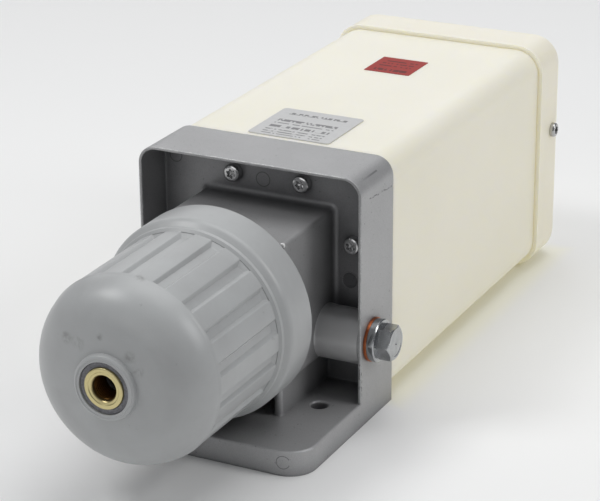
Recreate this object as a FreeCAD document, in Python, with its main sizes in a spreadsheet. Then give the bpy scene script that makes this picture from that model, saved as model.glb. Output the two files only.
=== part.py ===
import FreeCAD, Part
import math
import os
import re
import Sketcher

# Air-driven lubrication pump with a plastic reservoir, in millimetres.
# X runs across the pump, Y from the air cylinder towards the reservoir's lid, Z up.
# The origin lies on the foot's underside, midway between the two mounting holes.

Vec = FreeCAD.Vector
doc = FreeCAD.newDocument("LubricationPump")

# Driving sizes

SIZES = {
    # Cast frame
    "frame_width": 130.0, "frame_height": 138.3, "frame_front": 9.5, "frame_depth": 39.1,
    "frame_corner": 10.0, "rim_wall": 2.6, "plate_setback": 24.0, "plate_thickness": 6.0, "rear_wall": 3.0,
    "rear_sill": 1.2, "cast_fillet": 3.0,
    # Foot
    "foot_thickness": 13.6, "foot_reach": 57.25, "foot_corner": 14.5, "foot_round": 0.8,
    "bolt_spacing": 91.2, "bolt_hole": 9.0, "bolt_chamfer": 0.7,
    # Pump block and webs
    "block_width": 76.0, "block_bottom": 33.0, "block_top": 111.0, "block_reach": 33.0, "block_round": 1.6,
    "web_gap": 59.0, "web_thickness": 4.7, "web_setback": 2.2, "web_round": 2.3,
    # Pump axis, spigot and spring chamber
    "axis_height": 71.5, "spigot_radius": 48.4, "spigot_length": 18.5, "spigot_chamfer": 1.0,
    "chamber_radius": 30.0, "chamber_floor": 4.5, "vent_hole": 3.0, "vent_setback": 2.6,
    # Ports
    "port_setback": 14.5, "port_height": 45.5, "boss_radius": 14.4, "port_bore": 16.5, "port_depth": 14.0,
    "gallery_bore": 7.4, "gallery_rise": 4.2, "drop_bore": 7.0,
    # Suction passage
    "suction_height": 95.0, "suction_bore": 7.0, "suction_drop": 5.0, "suction_end": 3.2,
    "strainer_bore": 10.0, "strainer_depth": 3.0, "strainer_rim": 14.0, "strainer_rim_thickness": 1.5,
    "strainer_hole": 5.0, "passage_plug": 6.0, "passage_plug_length": 5.0, "passage_plug_sunk": 0.6,
    # Cylinder cap
    "cap_gap": 2.25, "collar_radius": 54.8, "collar_length": 21.5, "collar_round": 5.0,
    "shoulder_length": 3.25, "shoulder_radius": 51.6, "ledge_length": 1.5, "ledge_radius": 51.2,
    "ledge_slope": 1.2, "body_radius": 49.6, "nose_reach": 135.5, "nose_crown": 158.0, "nose_round": 21.9,
    "air_bore": 43.0, "front_wall": 10.5, "inner_round": 17.0, "thread_radius": 48.9,
    # Flutes of the cap
    "flute_count": 18.0, "flute_width": 7.8, "flute_floor": 4.2, "flute_depth": 1.9, "flute_start": 0.2,
    "flute_front": 111.5,
    # Nose hub and air port insert
    "hub_radius": 17.3, "hub_lip": 13.7, "hub_height": 2.3, "hub_recess": 3.0, "hub_fillet": 1.0,
    "insert_radius": 10.6, "insert_proud": 2.1, "insert_bore": 5.9, "insert_mouth": 6.6, "insert_face": 8.3,
    "insert_dish": 0.5, "insert_chamfer": 0.8, "key_radius": 12.0, "key_front": 3.5, "key_width": 4.0,
    "port_seal_thickness": 0.9, "fit_gap": 0.05,
    # Piston
    "piston_stroke": 30.0, "piston_gap": 0.3, "piston_thickness": 11.5, "piston_hub": 18.0,
    "nut_pocket": 12.0, "nut_floor": 3.5, "seal_setback": 2.5, "seal_width": 4.5, "seal_depth": 4.0,
    "guide_setback": 1.2, "guide_width": 2.3, "guide_depth": 2.2, "seal_gap": 0.12, "pilot_height": 2.0,
    "stem_radius": 5.0, "nut_width": 17.0, "nut_height": 8.0, "stem_proud": 2.0,
    # Plunger and pump cylinder
    "plunger_radius": 7.0, "plunger_rest": 1.5, "plunger_chamfer": 0.4, "running_gap": 0.03,
    "liner_radius": 11.0, "liner_length": 33.0, "liner_flange_radius": 16.0, "liner_flange": 4.0,
    "annulus_start": 2.2, "annulus_length": 16.8, "annulus_depth": 1.2, "feed_place": 5.0, "feed_bore": 4.0,
    "liner_seal_place": 24.0, "liner_seal_width": 2.4, "liner_seal_depth": 1.6, "gland_radius": 10.4,
    "gland_depth": 4.5, "guide_bush": 1.5,
    # Outlet valve
    "valve_bore": 9.0, "seat_length": 4.0, "seat_bore": 3.2, "seat_cone": 4.4, "seat_cone_depth": 1.4,
    "ball_radius": 4.5, "ball_rest": 2.1, "ball_lift": 1.5, "valve_plug_length": 9.5,
    "valve_plug_head": 4.0, "valve_plug_head_radius": 12.0, "valve_washer": 1.5, "valve_plug_chamfer": 0.8,
    "valve_plug_slot": 2.0,
    # Springs
    "spring_radius": 22.0, "spring_wire": 4.0, "spring_turns": 6.5, "spring_gap": 0.1, "seat_plate": 1.5,
    "seat_radius": 27.0, "seat_hole": 7.6, "valve_spring_radius": 3.0, "valve_spring_wire": 0.8,
    "valve_spring_turns": 4.0, "coil_sides": 16.0,
    # Screw plug
    "plug_washer_radius": 12.0, "plug_washer_width": 1.5, "plug_collar_radius": 11.4, "plug_collar": 4.0,
    "plug_hex": 17.0, "plug_hex_height": 8.0, "plug_chamfer": 1.0, "plug_thread": 11.0,
    # Flange screws
    "top_screw_x": 20.4, "top_screw_z": 122.3, "side_screw_x": 49.7, "side_screw_z": 92.9,
    "low_screw_x": 16.0, "low_screw_z": 23.0, "screw_head_radius": 4.9, "screw_head": 3.6,
    "screw_thread": 5.0, "screw_length": 12.5, "screw_clearance": 0.3, "drive_radius": 2.2,
    "drive_depth": 2.0, "head_round": 1.2, "sleeve_wall": 1.2,
    # Reservoir
    "tank_wall": 3.0, "tank_length": 232.9, "tank_bottom": 3.9, "tank_corner": 14.0, "neck_gap": 0.4,
    "gasket_thickness": 1.5, "tank_flange": 6.0, "window_width": 80.0, "window_bottom": 31.5,
    "window_top": 114.0, "window_corner": 10.0,
    # Lid
    "lid_lap": 26.0, "lid_wall": 2.5, "lid_gap": 0.25, "lid_space": 8.0, "lid_back_round": 12.0,
    "lid_screw_place": 18.9, "lid_screw_z": 85.1, "lid_screw_thread": 4.0, "lid_screw_head_radius": 4.2,
    "lid_screw_head": 2.6, "lid_screw_length": 8.0, "lid_boss_radius": 5.5, "lid_boss_height": 4.0,
    "lid_screw_round": 0.9,
    # Plates and marks
    "name_width": 48.4, "name_length": 44.8, "name_thickness": 0.5, "name_x": 1.7, "name_place": 3.3,
    "name_corner": 2.0, "label_side": 28.4, "label_thickness": 0.2, "label_place": 131.7,
    "label_corner": 0.5, "mark_radius": 4.2, "mark_depth": 0.5, "mark_x": 47.3, "mark_z": 72.0,
}

sheet = doc.addObject("Spreadsheet::Sheet", "Sizes")
for row, (alias, value) in enumerate(SIZES.items(), 1):
    sheet.set(f"A{row}", alias)
    sheet.set(f"B{row}", str(value))
    sheet.setAlias(f"B{row}", alias)
doc.recompute()

# Places that several pieces share, in the words of the sheet

HALF_WIDTH = "(frame_width / 2)"
PLATE_FRONT = "(frame_front + plate_setback)"
PLATE_BACK = "(frame_front + plate_setback + plate_thickness)"
FRAME_BACK = "(frame_front + frame_depth)"
BLOCK_FRONT = "(frame_front - block_reach)"
SPIGOT_FRONT = "(frame_front - block_reach - spigot_length)"
CHAMBER_FLOOR = "(frame_front - block_reach + chamber_floor)"
FEED_Y = f"({CHAMBER_FLOOR} + feed_place)"
LINER_FRONT = f"({CHAMBER_FLOOR} - liner_flange)"
LINER_END = f"({CHAMBER_FLOOR} + liner_length)"
PLUNGER_TIP = f"({LINER_FRONT} + gland_depth + plunger_rest)"
SEAT_FRONT = f"({LINER_FRONT} - seat_plate)"
PORT_Y = "(frame_front + port_setback)"
CAP_REAR = "(frame_front - block_reach - cap_gap)"
COLLAR_FRONT = f"({CAP_REAR} - collar_length)"
SHOULDER_FRONT = f"({COLLAR_FRONT} - shoulder_length)"
LEDGE_FRONT = f"({SHOULDER_FRONT} - ledge_length)"
NOSE_CORNER = "(-nose_reach + nose_crown - sqrt(nose_crown * nose_crown - body_radius * body_radius))"
CAP_SHOULDER = f"({SPIGOT_FRONT} - gasket_thickness)"
INNER_FRONT = "(-nose_reach + front_wall)"
HUB_FRONT = "(-nose_reach - hub_height)"
HUB_FLOOR = "(-nose_reach - hub_height + hub_recess)"
INSERT_FRONT = "(-nose_reach - insert_proud)"
PISTON_NOSE = "(-nose_reach + front_wall + piston_gap)"
PISTON_FRONT = "(-nose_reach + front_wall + inner_round + piston_gap)"
PISTON_BACK = f"({PISTON_FRONT} + piston_thickness)"
PISTON_RADIUS = "(air_bore - piston_gap)"
NUT_SEAT = f"({PISTON_FRONT} + nut_floor)"
SEAL_FRONT = f"({PISTON_FRONT} + seal_setback)"
GUIDE_FRONT = f"({PISTON_FRONT} + seal_setback + seal_width + guide_setback)"
TANK_FLANGE_FRONT = f"({PLATE_BACK} + gasket_thickness)"
TANK_FLANGE_BACK = f"({PLATE_BACK} + gasket_thickness + tank_flange)"
TANK_END = f"({FRAME_BACK} + tank_length)"
LID_LIP = f"({FRAME_BACK} + tank_length - lid_lap)"
LID_INNER = f"({FRAME_BACK} + tank_length + lid_space)"
LID_BACK = f"({FRAME_BACK} + tank_length + lid_space + lid_wall)"
LID_SCREW_Y = f"({FRAME_BACK} + tank_length - lid_lap + lid_screw_place)"
LID_HALF = "(frame_width / 2 + lid_gap + lid_wall)"
SCREWS = [("top_screw_x", "top_screw_z"), ("side_screw_x", "side_screw_z"), ("low_screw_x", "low_screw_z")]
SCREW_CENTRES = [(side + x, z) for x, z in SCREWS for side in ("-", "")]

PLANES = {"XY": "XY_Plane", "XZ": "XZ_Plane", "YZ": "YZ_Plane"}
nodes = []


def size(alias):
    """One driving size as a plain number."""
    return float(sheet.get(alias))


def formula(text):
    """The same words with each size name pointing at its cell."""
    return re.sub(r"[a-z]+(?:_[a-z]+)+", r"Sizes.\g<0>", text)


def new_body(label, height=None, across=None, several=False):
    """An empty body, moved up by one size and along Y by another if they are given."""
    body = doc.addObject("PartDesign::Body", "Body_" + label)
    body.Label = label
    body.AllowCompound = several
    if height:
        body.setExpression("Placement.Base.z", formula(height))
    if across:
        body.setExpression("Placement.Base.y", formula(across))
    nodes.append(body)
    return body


def origin_part(body, role):
    """A plane or axis of the body's own origin."""
    return [f for f in body.Origin.OriginFeatures if f.Role == role][0]


def new_sketch(body, name, plane, at=None):
    """A sketch on an origin plane of its body, at a coordinate along the plane's axis."""
    sketch = body.newObject("Sketcher::SketchObject", name)
    sketch.AttachmentSupport = [(origin_part(body, PLANES[plane]), "")]
    sketch.MapMode = "FlatFace"
    if at:
        place = f"-({at})" if plane == "XZ" else at
        sketch.setExpression("AttachmentOffset.Base.z", formula(place))
    return sketch


def bind(sketch, constraint, text):
    """Adds a constraint whose value follows the sheet."""
    index = sketch.addConstraint(constraint)
    sketch.setExpression(f"Constraints[{index}]", formula(text))


def outline(body, name, plane, corners, at=None, crowned=None):
    """A closed outline, each corner held by its two coordinates.

    The side after the corner numbered crowned is an arc with its centre on the horizontal axis.
    """
    sketch = new_sketch(body, name, plane, at)
    count = len(corners)
    start = [Vec(40 + math.cos(k * math.tau / count), 40 + math.sin(k * math.tau / count), 0)
             for k in range(count)]
    if crowned is not None:
        start[crowned:crowned + 2] = [Vec(-40, 30, 0), Vec(-50, 0, 0)]
    for k in range(count):
        if k == crowned:
            arc = Part.Circle(Vec(0, 0, 0), Vec(0, 0, 1), 50)
            sketch.addGeometry(Part.ArcOfCircle(arc, math.atan2(30, -40), math.pi), False)
        else:
            sketch.addGeometry(Part.LineSegment(start[k], start[(k + 1) % count]), False)
    for k in range(count):
        sketch.addConstraint(Sketcher.Constraint("Coincident", k, 2, (k + 1) % count, 1))
    if crowned is not None:
        sketch.addConstraint(Sketcher.Constraint("PointOnObject", crowned, 3, -1))
    for k, (across, up) in enumerate(corners):
        bind(sketch, Sketcher.Constraint("DistanceX", k, 1, start[k].x), across)
        bind(sketch, Sketcher.Constraint("DistanceY", k, 1, start[k].y), up)
    return sketch


def rectangle(body, name, plane, left, right, low, high, at=None):
    """An upright rectangle from its four edges."""
    corners = [(left, low), (right, low), (right, high), (left, high)]
    return outline(body, name, plane, corners, at)


def circles(body, name, plane, radius, centres, at=None):
    """Circles of one radius at several centres."""
    sketch = new_sketch(body, name, plane, at)
    for k, (across, up) in enumerate(centres):
        sketch.addGeometry(Part.Circle(Vec(5 + 30 * k, 5, 0), Vec(0, 0, 1), 1), False)
        bind(sketch, Sketcher.Constraint("DistanceX", k, 3, 1.0), across)
        bind(sketch, Sketcher.Constraint("DistanceY", k, 3, 1.0), up)
        bind(sketch, Sketcher.Constraint("Radius", k, 1.0), radius)
    return sketch


def hexagon(body, name, plane, width, at=None):
    """A hexagon about the sketch's origin, from its width across flats."""
    corners = [(f"{width} / 2 / cos(30) * cos({60 * k + 30})", f"{width} / 2 / cos(30) * sin({60 * k + 30})")
               for k in range(6)]
    return outline(body, name, plane, corners, at)


def feature(body, kind, name, sketch):
    """A feature of the body that uses a sketch."""
    made = body.newObject("PartDesign::" + kind, name)
    made.Profile = (sketch, [""])
    return made


def pad(body, name, sketch, length, back=False):
    """Material added along the sketch's normal, or against it."""
    made = feature(body, "Pad", name, sketch)
    made.setExpression("Length", formula(length))
    made.Reversed = back
    return made


def pocket(body, name, sketch, length, back=False):
    """Material taken away against the sketch's normal, or along it."""
    made = feature(body, "Pocket", name, sketch)
    made.setExpression("Length", formula(length))
    made.Reversed = back
    return made


def turn(body, name, sketch, kind="Revolution"):
    """A full turn about the sketch's horizontal axis, added or cut."""
    made = feature(body, kind, name, sketch)
    made.ReferenceAxis = (sketch, ["H_Axis"])
    made.Angle = 360
    return made


def edges_where(base, test):
    """Names of the base's edges that pass a test."""
    found = [f"Edge{k}" for k, edge in enumerate(base.Shape.Edges, 1) if test(edge)]
    if not found:
        raise RuntimeError(f"no edge to dress on {base.Label}")
    return found


def fillet(body, name, base, radius, test):
    """Rounds the base's edges that pass a test."""
    doc.recompute()
    made = body.newObject("PartDesign::Fillet", name)
    made.Base = (base, edges_where(base, test))
    made.setExpression("Radius", formula(radius))
    return made


def chamfer(body, name, base, width, test):
    """Chamfers the base's edges that pass a test."""
    doc.recompute()
    made = body.newObject("PartDesign::Chamfer", name)
    made.Base = (base, edges_where(base, test))
    made.setExpression("Size", formula(width))
    return made


def near(a, b, tolerance=0.02):
    """True if two numbers agree."""
    return abs(a - b) < tolerance


def straight(edge, axis):
    """True for a straight edge parallel to one axis."""
    if edge.Curve.TypeId != "Part::GeomLine":
        return False
    direction = edge.Curve.Direction
    return near(abs({"X": direction.x, "Y": direction.y, "Z": direction.z}[axis]), 1.0, 1e-4)


def level(edge, axis, place):
    """True for an edge that lies wholly at one coordinate."""
    box = edge.BoundBox
    low = {"X": box.XMin, "Y": box.YMin, "Z": box.ZMin}[axis]
    high = {"X": box.XMax, "Y": box.YMax, "Z": box.ZMax}[axis]
    return near(low, place) and near(high, place)


def reach(edge, axis):
    """The edge's middle, measured along one axis."""
    box = edge.BoundBox
    return {"X": box.XMin + box.XMax, "Y": box.YMin + box.YMax, "Z": box.ZMin + box.ZMax}[axis] / 2


def turned(label, corners, height="axis_height", **options):
    """A body turned about the pump's axis from one outline of (along, radius) corners."""
    body = new_body(label, height, **options)
    turn(body, "Turned_" + label, outline(body, "Profile_" + label, "YZ", corners))
    return body


def tube(label, front, back, inner, outer):
    """A plain ring about the pump's axis."""
    return turned(label, [(front, inner), (back, inner), (back, outer), (front, outer)])


# Housing: one casting with its frame, plate, foot, block, webs, port bosses and spigot

def add_frame(body):
    """The open rim round the plate, recessed on both sides."""
    front = size("frame_front")
    back = front + size("frame_depth")
    top = size("frame_height")
    pad(body, "Frame", rectangle(body, "FrameOutline", "XZ", f"-{HALF_WIDTH}", HALF_WIDTH,
                                 "0", "frame_height", "frame_front"), "frame_depth", back=True)
    cut = pocket(body, "FrontRecess", rectangle(
        body, "FrontRecessOutline", "XZ", f"-{HALF_WIDTH} + rim_wall", f"{HALF_WIDTH} - rim_wall",
        "foot_thickness", "frame_height - rim_wall", "frame_front"), "plate_setback")
    inner_top = top - size("rim_wall")
    fillet(body, "FrontRecessCorners", cut, "frame_corner - rim_wall", lambda e: (
        straight(e, "Y") and level(e, "Z", inner_top)))
    cut = pocket(body, "RearRecess", rectangle(
        body, "RearRecessOutline", "XZ", f"-{HALF_WIDTH} + rear_wall", f"{HALF_WIDTH} - rear_wall",
        "foot_thickness + rear_sill", "frame_height - rear_wall", FRAME_BACK),
        "frame_depth - plate_setback - plate_thickness", back=True)
    side = size("frame_width") / 2 - size("rear_wall")
    solid = fillet(body, "RearRecessCorners", cut, "frame_corner - rear_wall", lambda e: (
        straight(e, "Y") and near(e.BoundBox.YMax, back) and near(abs(reach(e, "X")), side)))
    fillet(body, "FrameCorners", solid, "frame_corner", lambda e: straight(e, "Y") and level(e, "Z", top))


def add_foot(body):
    """The flat foot with its rounded front corners."""
    reach_front = -size("foot_reach")
    foot = pad(body, "Foot", rectangle(body, "FootOutline", "XY", f"-{HALF_WIDTH}", HALF_WIDTH,
                                       "-foot_reach", PLATE_FRONT), "foot_thickness")
    foot = fillet(body, "FootCorners", foot, "foot_corner", lambda e: straight(e, "Z") and level(e, "Y", reach_front))
    top = size("foot_thickness")
    rim_front = size("frame_front")
    fillet(body, "FootRound", foot, "foot_round", lambda e: (
        level(e, "Z", top) and e.BoundBox.YMin < rim_front - 1 and e.BoundBox.YMax < rim_front + 0.1))


def add_block(body):
    """The pump block in front of the plate, with its rounded arrises and root."""
    plate = size("frame_front") + size("plate_setback")
    front = size("frame_front") - size("block_reach")
    half = size("block_width") / 2
    block = pad(body, "Block", rectangle(body, "BlockOutline", "XZ", "-block_width / 2", "block_width / 2",
                                         "block_bottom", "block_top", PLATE_FRONT), "plate_setback + block_reach")
    block = fillet(body, "BlockArrises", block, "block_round", lambda e: (
        straight(e, "Y") and near(e.BoundBox.YMin, front)))
    fillet(body, "BlockRoot", block, "cast_fillet", lambda e: (
        level(e, "Y", plate) and abs(reach(e, "X")) < half + 1
        and size("block_bottom") - 1 < reach(e, "Z") < size("block_top") + 1))


def add_webs(body):
    """The two upright webs that carry the block on the foot."""
    nose = size("frame_front") - size("block_reach") + size("web_setback")
    for side in (-1, 1):
        inner = f"{side} * web_gap / 2"
        outer = f"{side} * (web_gap / 2 + web_thickness)"
        name = "WebLeft" if side < 0 else "WebRight"
        web = pad(body, name, rectangle(body, name + "Outline", "XY", inner, outer,
                                        f"{BLOCK_FRONT} + web_setback", PLATE_FRONT, "foot_thickness"),
                  "block_bottom - foot_thickness")
        fillet(body, name + "Nose", web, "web_round", lambda e: straight(e, "Z") and level(e, "Y", nose))


def add_bosses_and_spigot(body):
    """The round boss of the ports across the casting, and the spigot that the cap screws onto."""
    pad(body, "PortBoss", circles(body, "PortBossCircle", "YZ", "boss_radius", [(PORT_Y, "port_height")],
                                  f"-{HALF_WIDTH}"), "frame_width")
    spigot = pad(body, "Spigot", circles(body, "SpigotCircle", "XZ", "spigot_radius", [("0", "axis_height")],
                                         BLOCK_FRONT), "spigot_length")
    front = size("frame_front") - size("block_reach") - size("spigot_length")
    chamfer(body, "SpigotChamfer", spigot, "spigot_chamfer", lambda e: level(e, "Y", front))


def add_bores(body):
    """Spring chamber, cylinder bore, valve bore, delivery gallery, ports, suction and vent."""
    axis = [("0", "axis_height")]
    pocket(body, "SpringChamber", circles(body, "ChamberCircle", "XZ", "chamber_radius", axis, SPIGOT_FRONT),
           "spigot_length + chamber_floor")
    pocket(body, "LinerBore", circles(body, "LinerCircle", "XZ", "liner_radius + fit_gap", axis, CHAMBER_FLOOR),
           "liner_length")
    pocket(body, "ValveBore", circles(body, "ValveCircle", "XZ", "valve_bore", axis, PLATE_BACK),
           f"{PLATE_BACK} - {LINER_END}", back=True)
    gallery = [(PORT_Y, "port_height + gallery_rise")]
    ports = [(PORT_Y, "port_height")]
    pocket(body, "Gallery", circles(body, "GalleryCircle", "YZ", "gallery_bore / 2", gallery,
                                    f"{HALF_WIDTH} - port_depth"), "frame_width - 2 * port_depth")
    pocket(body, "RightPort", circles(body, "RightPortCircle", "YZ", "port_bore / 2", ports, HALF_WIDTH),
           "port_depth")
    pocket(body, "LeftPort", circles(body, "LeftPortCircle", "YZ", "port_bore / 2", ports, f"-{HALF_WIDTH}"),
           "port_depth", back=True)
    pocket(body, "DeliveryDrop", circles(body, "DropCircle", "XY", "drop_bore / 2", [("0", PORT_Y)], "axis_height"),
           "axis_height - port_height")
    suction = [("0", "suction_height")]
    pocket(body, "Suction", circles(body, "SuctionCircle", "XZ", "suction_bore / 2", suction, PLATE_BACK),
           f"{PLATE_BACK} - {FEED_Y} + suction_end", back=True)
    pocket(body, "SuctionDrop", circles(body, "SuctionDropCircle", "XY", "suction_drop / 2", [("0", FEED_Y)],
                                        "block_top"), "block_top - axis_height - liner_radius / 2")
    pocket(body, "PassageMouth", circles(body, "PassageCircle", "XY", "passage_plug / 2 + fit_gap", [("0", FEED_Y)],
                                         "block_top"), "passage_plug_sunk + passage_plug_length")
    pocket(body, "StrainerSeat", circles(body, "StrainerCircle", "XZ", "strainer_bore / 2 + fit_gap", suction,
                                         PLATE_BACK), "strainer_depth", back=True)
    pocket(body, "Vent", circles(body, "VentCircle", "XY", "vent_hole / 2", [("0", f"{BLOCK_FRONT} + vent_setback")],
                                 "block_bottom"), "axis_height - block_bottom - chamber_radius / 2", back=True)


def add_holes(body):
    """Screw holes through the plate, mounting holes through the foot, and an ejector mark."""
    pocket(body, "ScrewHoles", circles(body, "ScrewHoleCircles", "XZ", "screw_thread / 2 + screw_clearance",
                                       SCREW_CENTRES, PLATE_FRONT), "plate_thickness")
    bolts = [("-bolt_spacing / 2", "0"), ("bolt_spacing / 2", "0")]
    holes = pocket(body, "BoltHoles", circles(body, "BoltCircles", "XY", "bolt_hole / 2", bolts, "foot_thickness"),
                   "foot_thickness")
    radius = size("bolt_hole") / 2
    half = size("bolt_spacing") / 2
    top = size("foot_thickness")
    chamfer(body, "BoltChamfers", holes, "bolt_chamfer", lambda e: (
        level(e, "Z", top) and e.Curve.TypeId == "Part::GeomCircle"
        and near(e.Curve.Radius, radius) and near(abs(reach(e, "X")), half)))
    pocket(body, "EjectorMark", circles(body, "EjectorCircle", "XZ", "mark_radius", [("mark_x", "mark_z")],
                                        PLATE_FRONT), "mark_depth")


def make_housing():
    """The aluminium casting that carries everything."""
    body = new_body("pump_housing")
    add_frame(body)
    add_foot(body)
    add_block(body)
    add_webs(body)
    add_bosses_and_spigot(body)
    add_bores(body)
    add_holes(body)


# Cylinder cap and what its nose holds

def make_cap():
    """The fluted cap that is the air cylinder and screws onto the spigot."""
    body = new_body("cylinder_cap", "axis_height")
    corners = [
        (NOSE_CORNER, "body_radius"), ("-nose_reach", "0"), (CAP_REAR, "0"), (CAP_REAR, "collar_radius"),
        (COLLAR_FRONT, "collar_radius"), (SHOULDER_FRONT, "shoulder_radius"), (LEDGE_FRONT, "ledge_radius"),
        (f"{LEDGE_FRONT} - ledge_slope", "body_radius"),
    ]
    shell = turn(body, "Outside", outline(body, "OutsideProfile", "YZ", corners, crowned=0))
    crown = size("nose_crown")
    nose_edge = crown - size("nose_reach") - math.sqrt(crown ** 2 - size("body_radius") ** 2)
    shell = fillet(body, "NoseRound", shell, "nose_round", lambda e: level(e, "Y", nose_edge))
    collar = size("frame_front") - size("block_reach") - size("cap_gap") - size("collar_length")
    fillet(body, "CollarRound", shell, "collar_round", lambda e: level(e, "Y", collar))
    hub = [("-nose_reach + hub_height", "0"), ("-nose_reach + hub_height", "hub_radius"),
           (HUB_FRONT, "hub_radius"), (HUB_FRONT, "0")]
    hub = turn(body, "Hub", outline(body, "HubProfile", "YZ", hub))
    hub_front = -size("nose_reach") - size("hub_height")
    hub_radius = size("hub_radius")
    fillet(body, "HubFillet", hub, "hub_fillet", lambda e: (
        e.Curve.TypeId == "Part::GeomCircle" and near(e.Curve.Radius, hub_radius)
        and e.BoundBox.YMin > hub_front + 0.5))
    inside = [(f"{CAP_REAR} + cap_gap", "0"), (f"{CAP_REAR} + cap_gap", "thread_radius"),
              (CAP_SHOULDER, "thread_radius"), (CAP_SHOULDER, "air_bore"), (INNER_FRONT, "air_bore"),
              (INNER_FRONT, "0")]
    bore = turn(body, "Inside", outline(body, "InsideProfile", "YZ", inside), "Groove")
    floor = -size("nose_reach") + size("front_wall")
    fillet(body, "InsideRound", bore, "inner_round", lambda e: level(e, "Y", floor))
    key_front = f"({HUB_FRONT} + hub_recess + key_front)"
    key_back = f"({HUB_FRONT} + hub_recess + key_front + key_width)"
    nose_hole = [(f"{HUB_FRONT} - hub_height", "0"), (f"{HUB_FRONT} - hub_height", "hub_lip"),
                 (HUB_FLOOR, "hub_lip"), (HUB_FLOOR, "insert_radius + fit_gap"),
                 (key_front, "insert_radius + fit_gap"), (key_front, "key_radius + fit_gap"),
                 (key_back, "key_radius + fit_gap"), (key_back, "insert_radius + fit_gap"),
                 (f"{INNER_FRONT} + hub_height", "insert_radius + fit_gap"), (f"{INNER_FRONT} + hub_height", "0")]
    turn(body, "NoseHole", outline(body, "NoseHoleProfile", "YZ", nose_hole), "Groove")
    low = "body_radius - flute_depth"
    flute = [("-flute_floor / 2", low), ("flute_floor / 2", low),
             ("flute_width - flute_floor / 2", f"{low} + 2 * flute_depth"),
             ("-flute_width + flute_floor / 2", f"{low} + 2 * flute_depth")]
    cut = pocket(body, "Flute", outline(body, "FluteOutline", "XZ", flute, "-flute_front"),
                 f"flute_front + {LEDGE_FRONT} - ledge_slope - flute_start")
    ring = body.newObject("PartDesign::PolarPattern", "Flutes")
    ring.Originals = [cut]
    ring.Axis = (origin_part(body, "Y_Axis"), [""])
    ring.Angle = 360
    ring.setExpression("Occurrences", formula("flute_count"))
    body.Tip = ring
    insert = [
        (INSERT_FRONT, "insert_face"), (INSERT_FRONT, "insert_radius - insert_dish"),
        (f"{INSERT_FRONT} + insert_dish", "insert_radius"), (key_front, "insert_radius"),
        (key_front, "key_radius"), (key_back, "key_radius"), (key_back, "insert_radius"),
        (INNER_FRONT, "insert_radius"), (INNER_FRONT, "insert_bore"),
        (f"{INSERT_FRONT} + insert_dish + insert_chamfer", "insert_bore"),
        (f"{INSERT_FRONT} + insert_dish", "insert_mouth"),
    ]
    turned("air_port_insert", insert)
    tube("port_seal", f"{HUB_FLOOR} - port_seal_thickness", HUB_FLOOR, "insert_radius + fit_gap", "hub_lip - fit_gap")
    tube("cap_seal", CAP_SHOULDER, SPIGOT_FRONT, "air_bore + piston_gap", "spigot_radius - spigot_chamfer")


# Piston, plunger and return spring

def make_piston():
    """The air piston with its seal, guide ring, plunger and nut."""
    bore = "stem_radius + fit_gap"
    groove = f"{PISTON_RADIUS} - seal_depth"
    guide = f"{PISTON_RADIUS} - guide_depth"
    pilot = f"({PISTON_BACK} + pilot_height)"
    turned("air_piston", [
        (PISTON_NOSE, "nut_pocket"), (PISTON_NOSE, "piston_hub"), (PISTON_FRONT, "piston_hub"),
        (PISTON_FRONT, PISTON_RADIUS), (SEAL_FRONT, PISTON_RADIUS), (SEAL_FRONT, groove),
        (f"{SEAL_FRONT} + seal_width", groove), (f"{SEAL_FRONT} + seal_width", PISTON_RADIUS),
        (GUIDE_FRONT, PISTON_RADIUS), (GUIDE_FRONT, guide), (f"{GUIDE_FRONT} + guide_width", guide),
        (f"{GUIDE_FRONT} + guide_width", PISTON_RADIUS), (PISTON_BACK, PISTON_RADIUS),
        (PISTON_BACK, "spring_radius - spring_wire / 2 - piston_gap"),
        (pilot, "spring_radius - spring_wire / 2 - piston_gap"), (pilot, bore), (NUT_SEAT, bore),
        (NUT_SEAT, "nut_pocket"),
    ])
    tube("piston_seal", f"{SEAL_FRONT} + fit_gap", f"{SEAL_FRONT} + seal_width - fit_gap",
         f"{groove} + fit_gap", "air_bore - seal_gap")
    tube("piston_guide_ring", f"{GUIDE_FRONT} + fit_gap", f"{GUIDE_FRONT} + guide_width - fit_gap",
         f"{guide} + fit_gap", "air_bore - seal_gap")
    stem_end = f"({NUT_SEAT} - nut_height - stem_proud)"
    turned("plunger", [
        (stem_end, "0"), (stem_end, "stem_radius"), (pilot, "stem_radius"), (pilot, "plunger_radius"),
        (f"{PLUNGER_TIP} - plunger_chamfer", "plunger_radius"), (PLUNGER_TIP, "plunger_radius - plunger_chamfer"),
        (PLUNGER_TIP, "0"),
    ])
    nut = new_body("piston_nut", "axis_height")
    pad(nut, "NutHex", hexagon(nut, "NutOutline", "XZ", "nut_width", NUT_SEAT), "nut_height")
    pocket(nut, "NutBore", circles(nut, "NutCircle", "XZ", "stem_radius + fit_gap", [("0", "0")], NUT_SEAT),
           "nut_height", back=True)


def coil(label, front, back, radius, wire, turns):
    """A coil spring between two flat faces: an eight-sided wire along a many-sided helix."""
    steps = round(turns * size("coil_sides"))
    low = front + wire / 2 + size("spring_gap")
    rise = back - front - wire - 2 * size("spring_gap")
    height = size("axis_height")
    points = []
    for k in range(steps + 1):
        angle = k * math.tau / size("coil_sides")
        points.append(Vec(radius * math.sin(angle), low + rise * k / steps, height + radius * math.cos(angle)))
    along = points[1] - points[0]
    ring = Part.makePolygon([points[0] + place for place in wire_section(along, wire / 2)])
    solid = Part.makePolygon(points).makePipeShell([ring], True, False, 1)
    spring = doc.addObject("Part::Feature", "Spring_" + label)
    spring.Label = label
    spring.Shape = solid
    nodes.append(spring)


def wire_section(along, radius):
    """Corners of an eight-sided wire section square to a direction, with the first one repeated."""
    across = along.cross(Vec(0, 1, 0)).normalize()
    up = across.cross(along).normalize()
    angles = [math.pi / 8 + k * math.pi / 4 for k in range(9)]
    return [across * (radius * math.cos(a)) + up * (radius * math.sin(a)) for a in angles]


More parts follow.
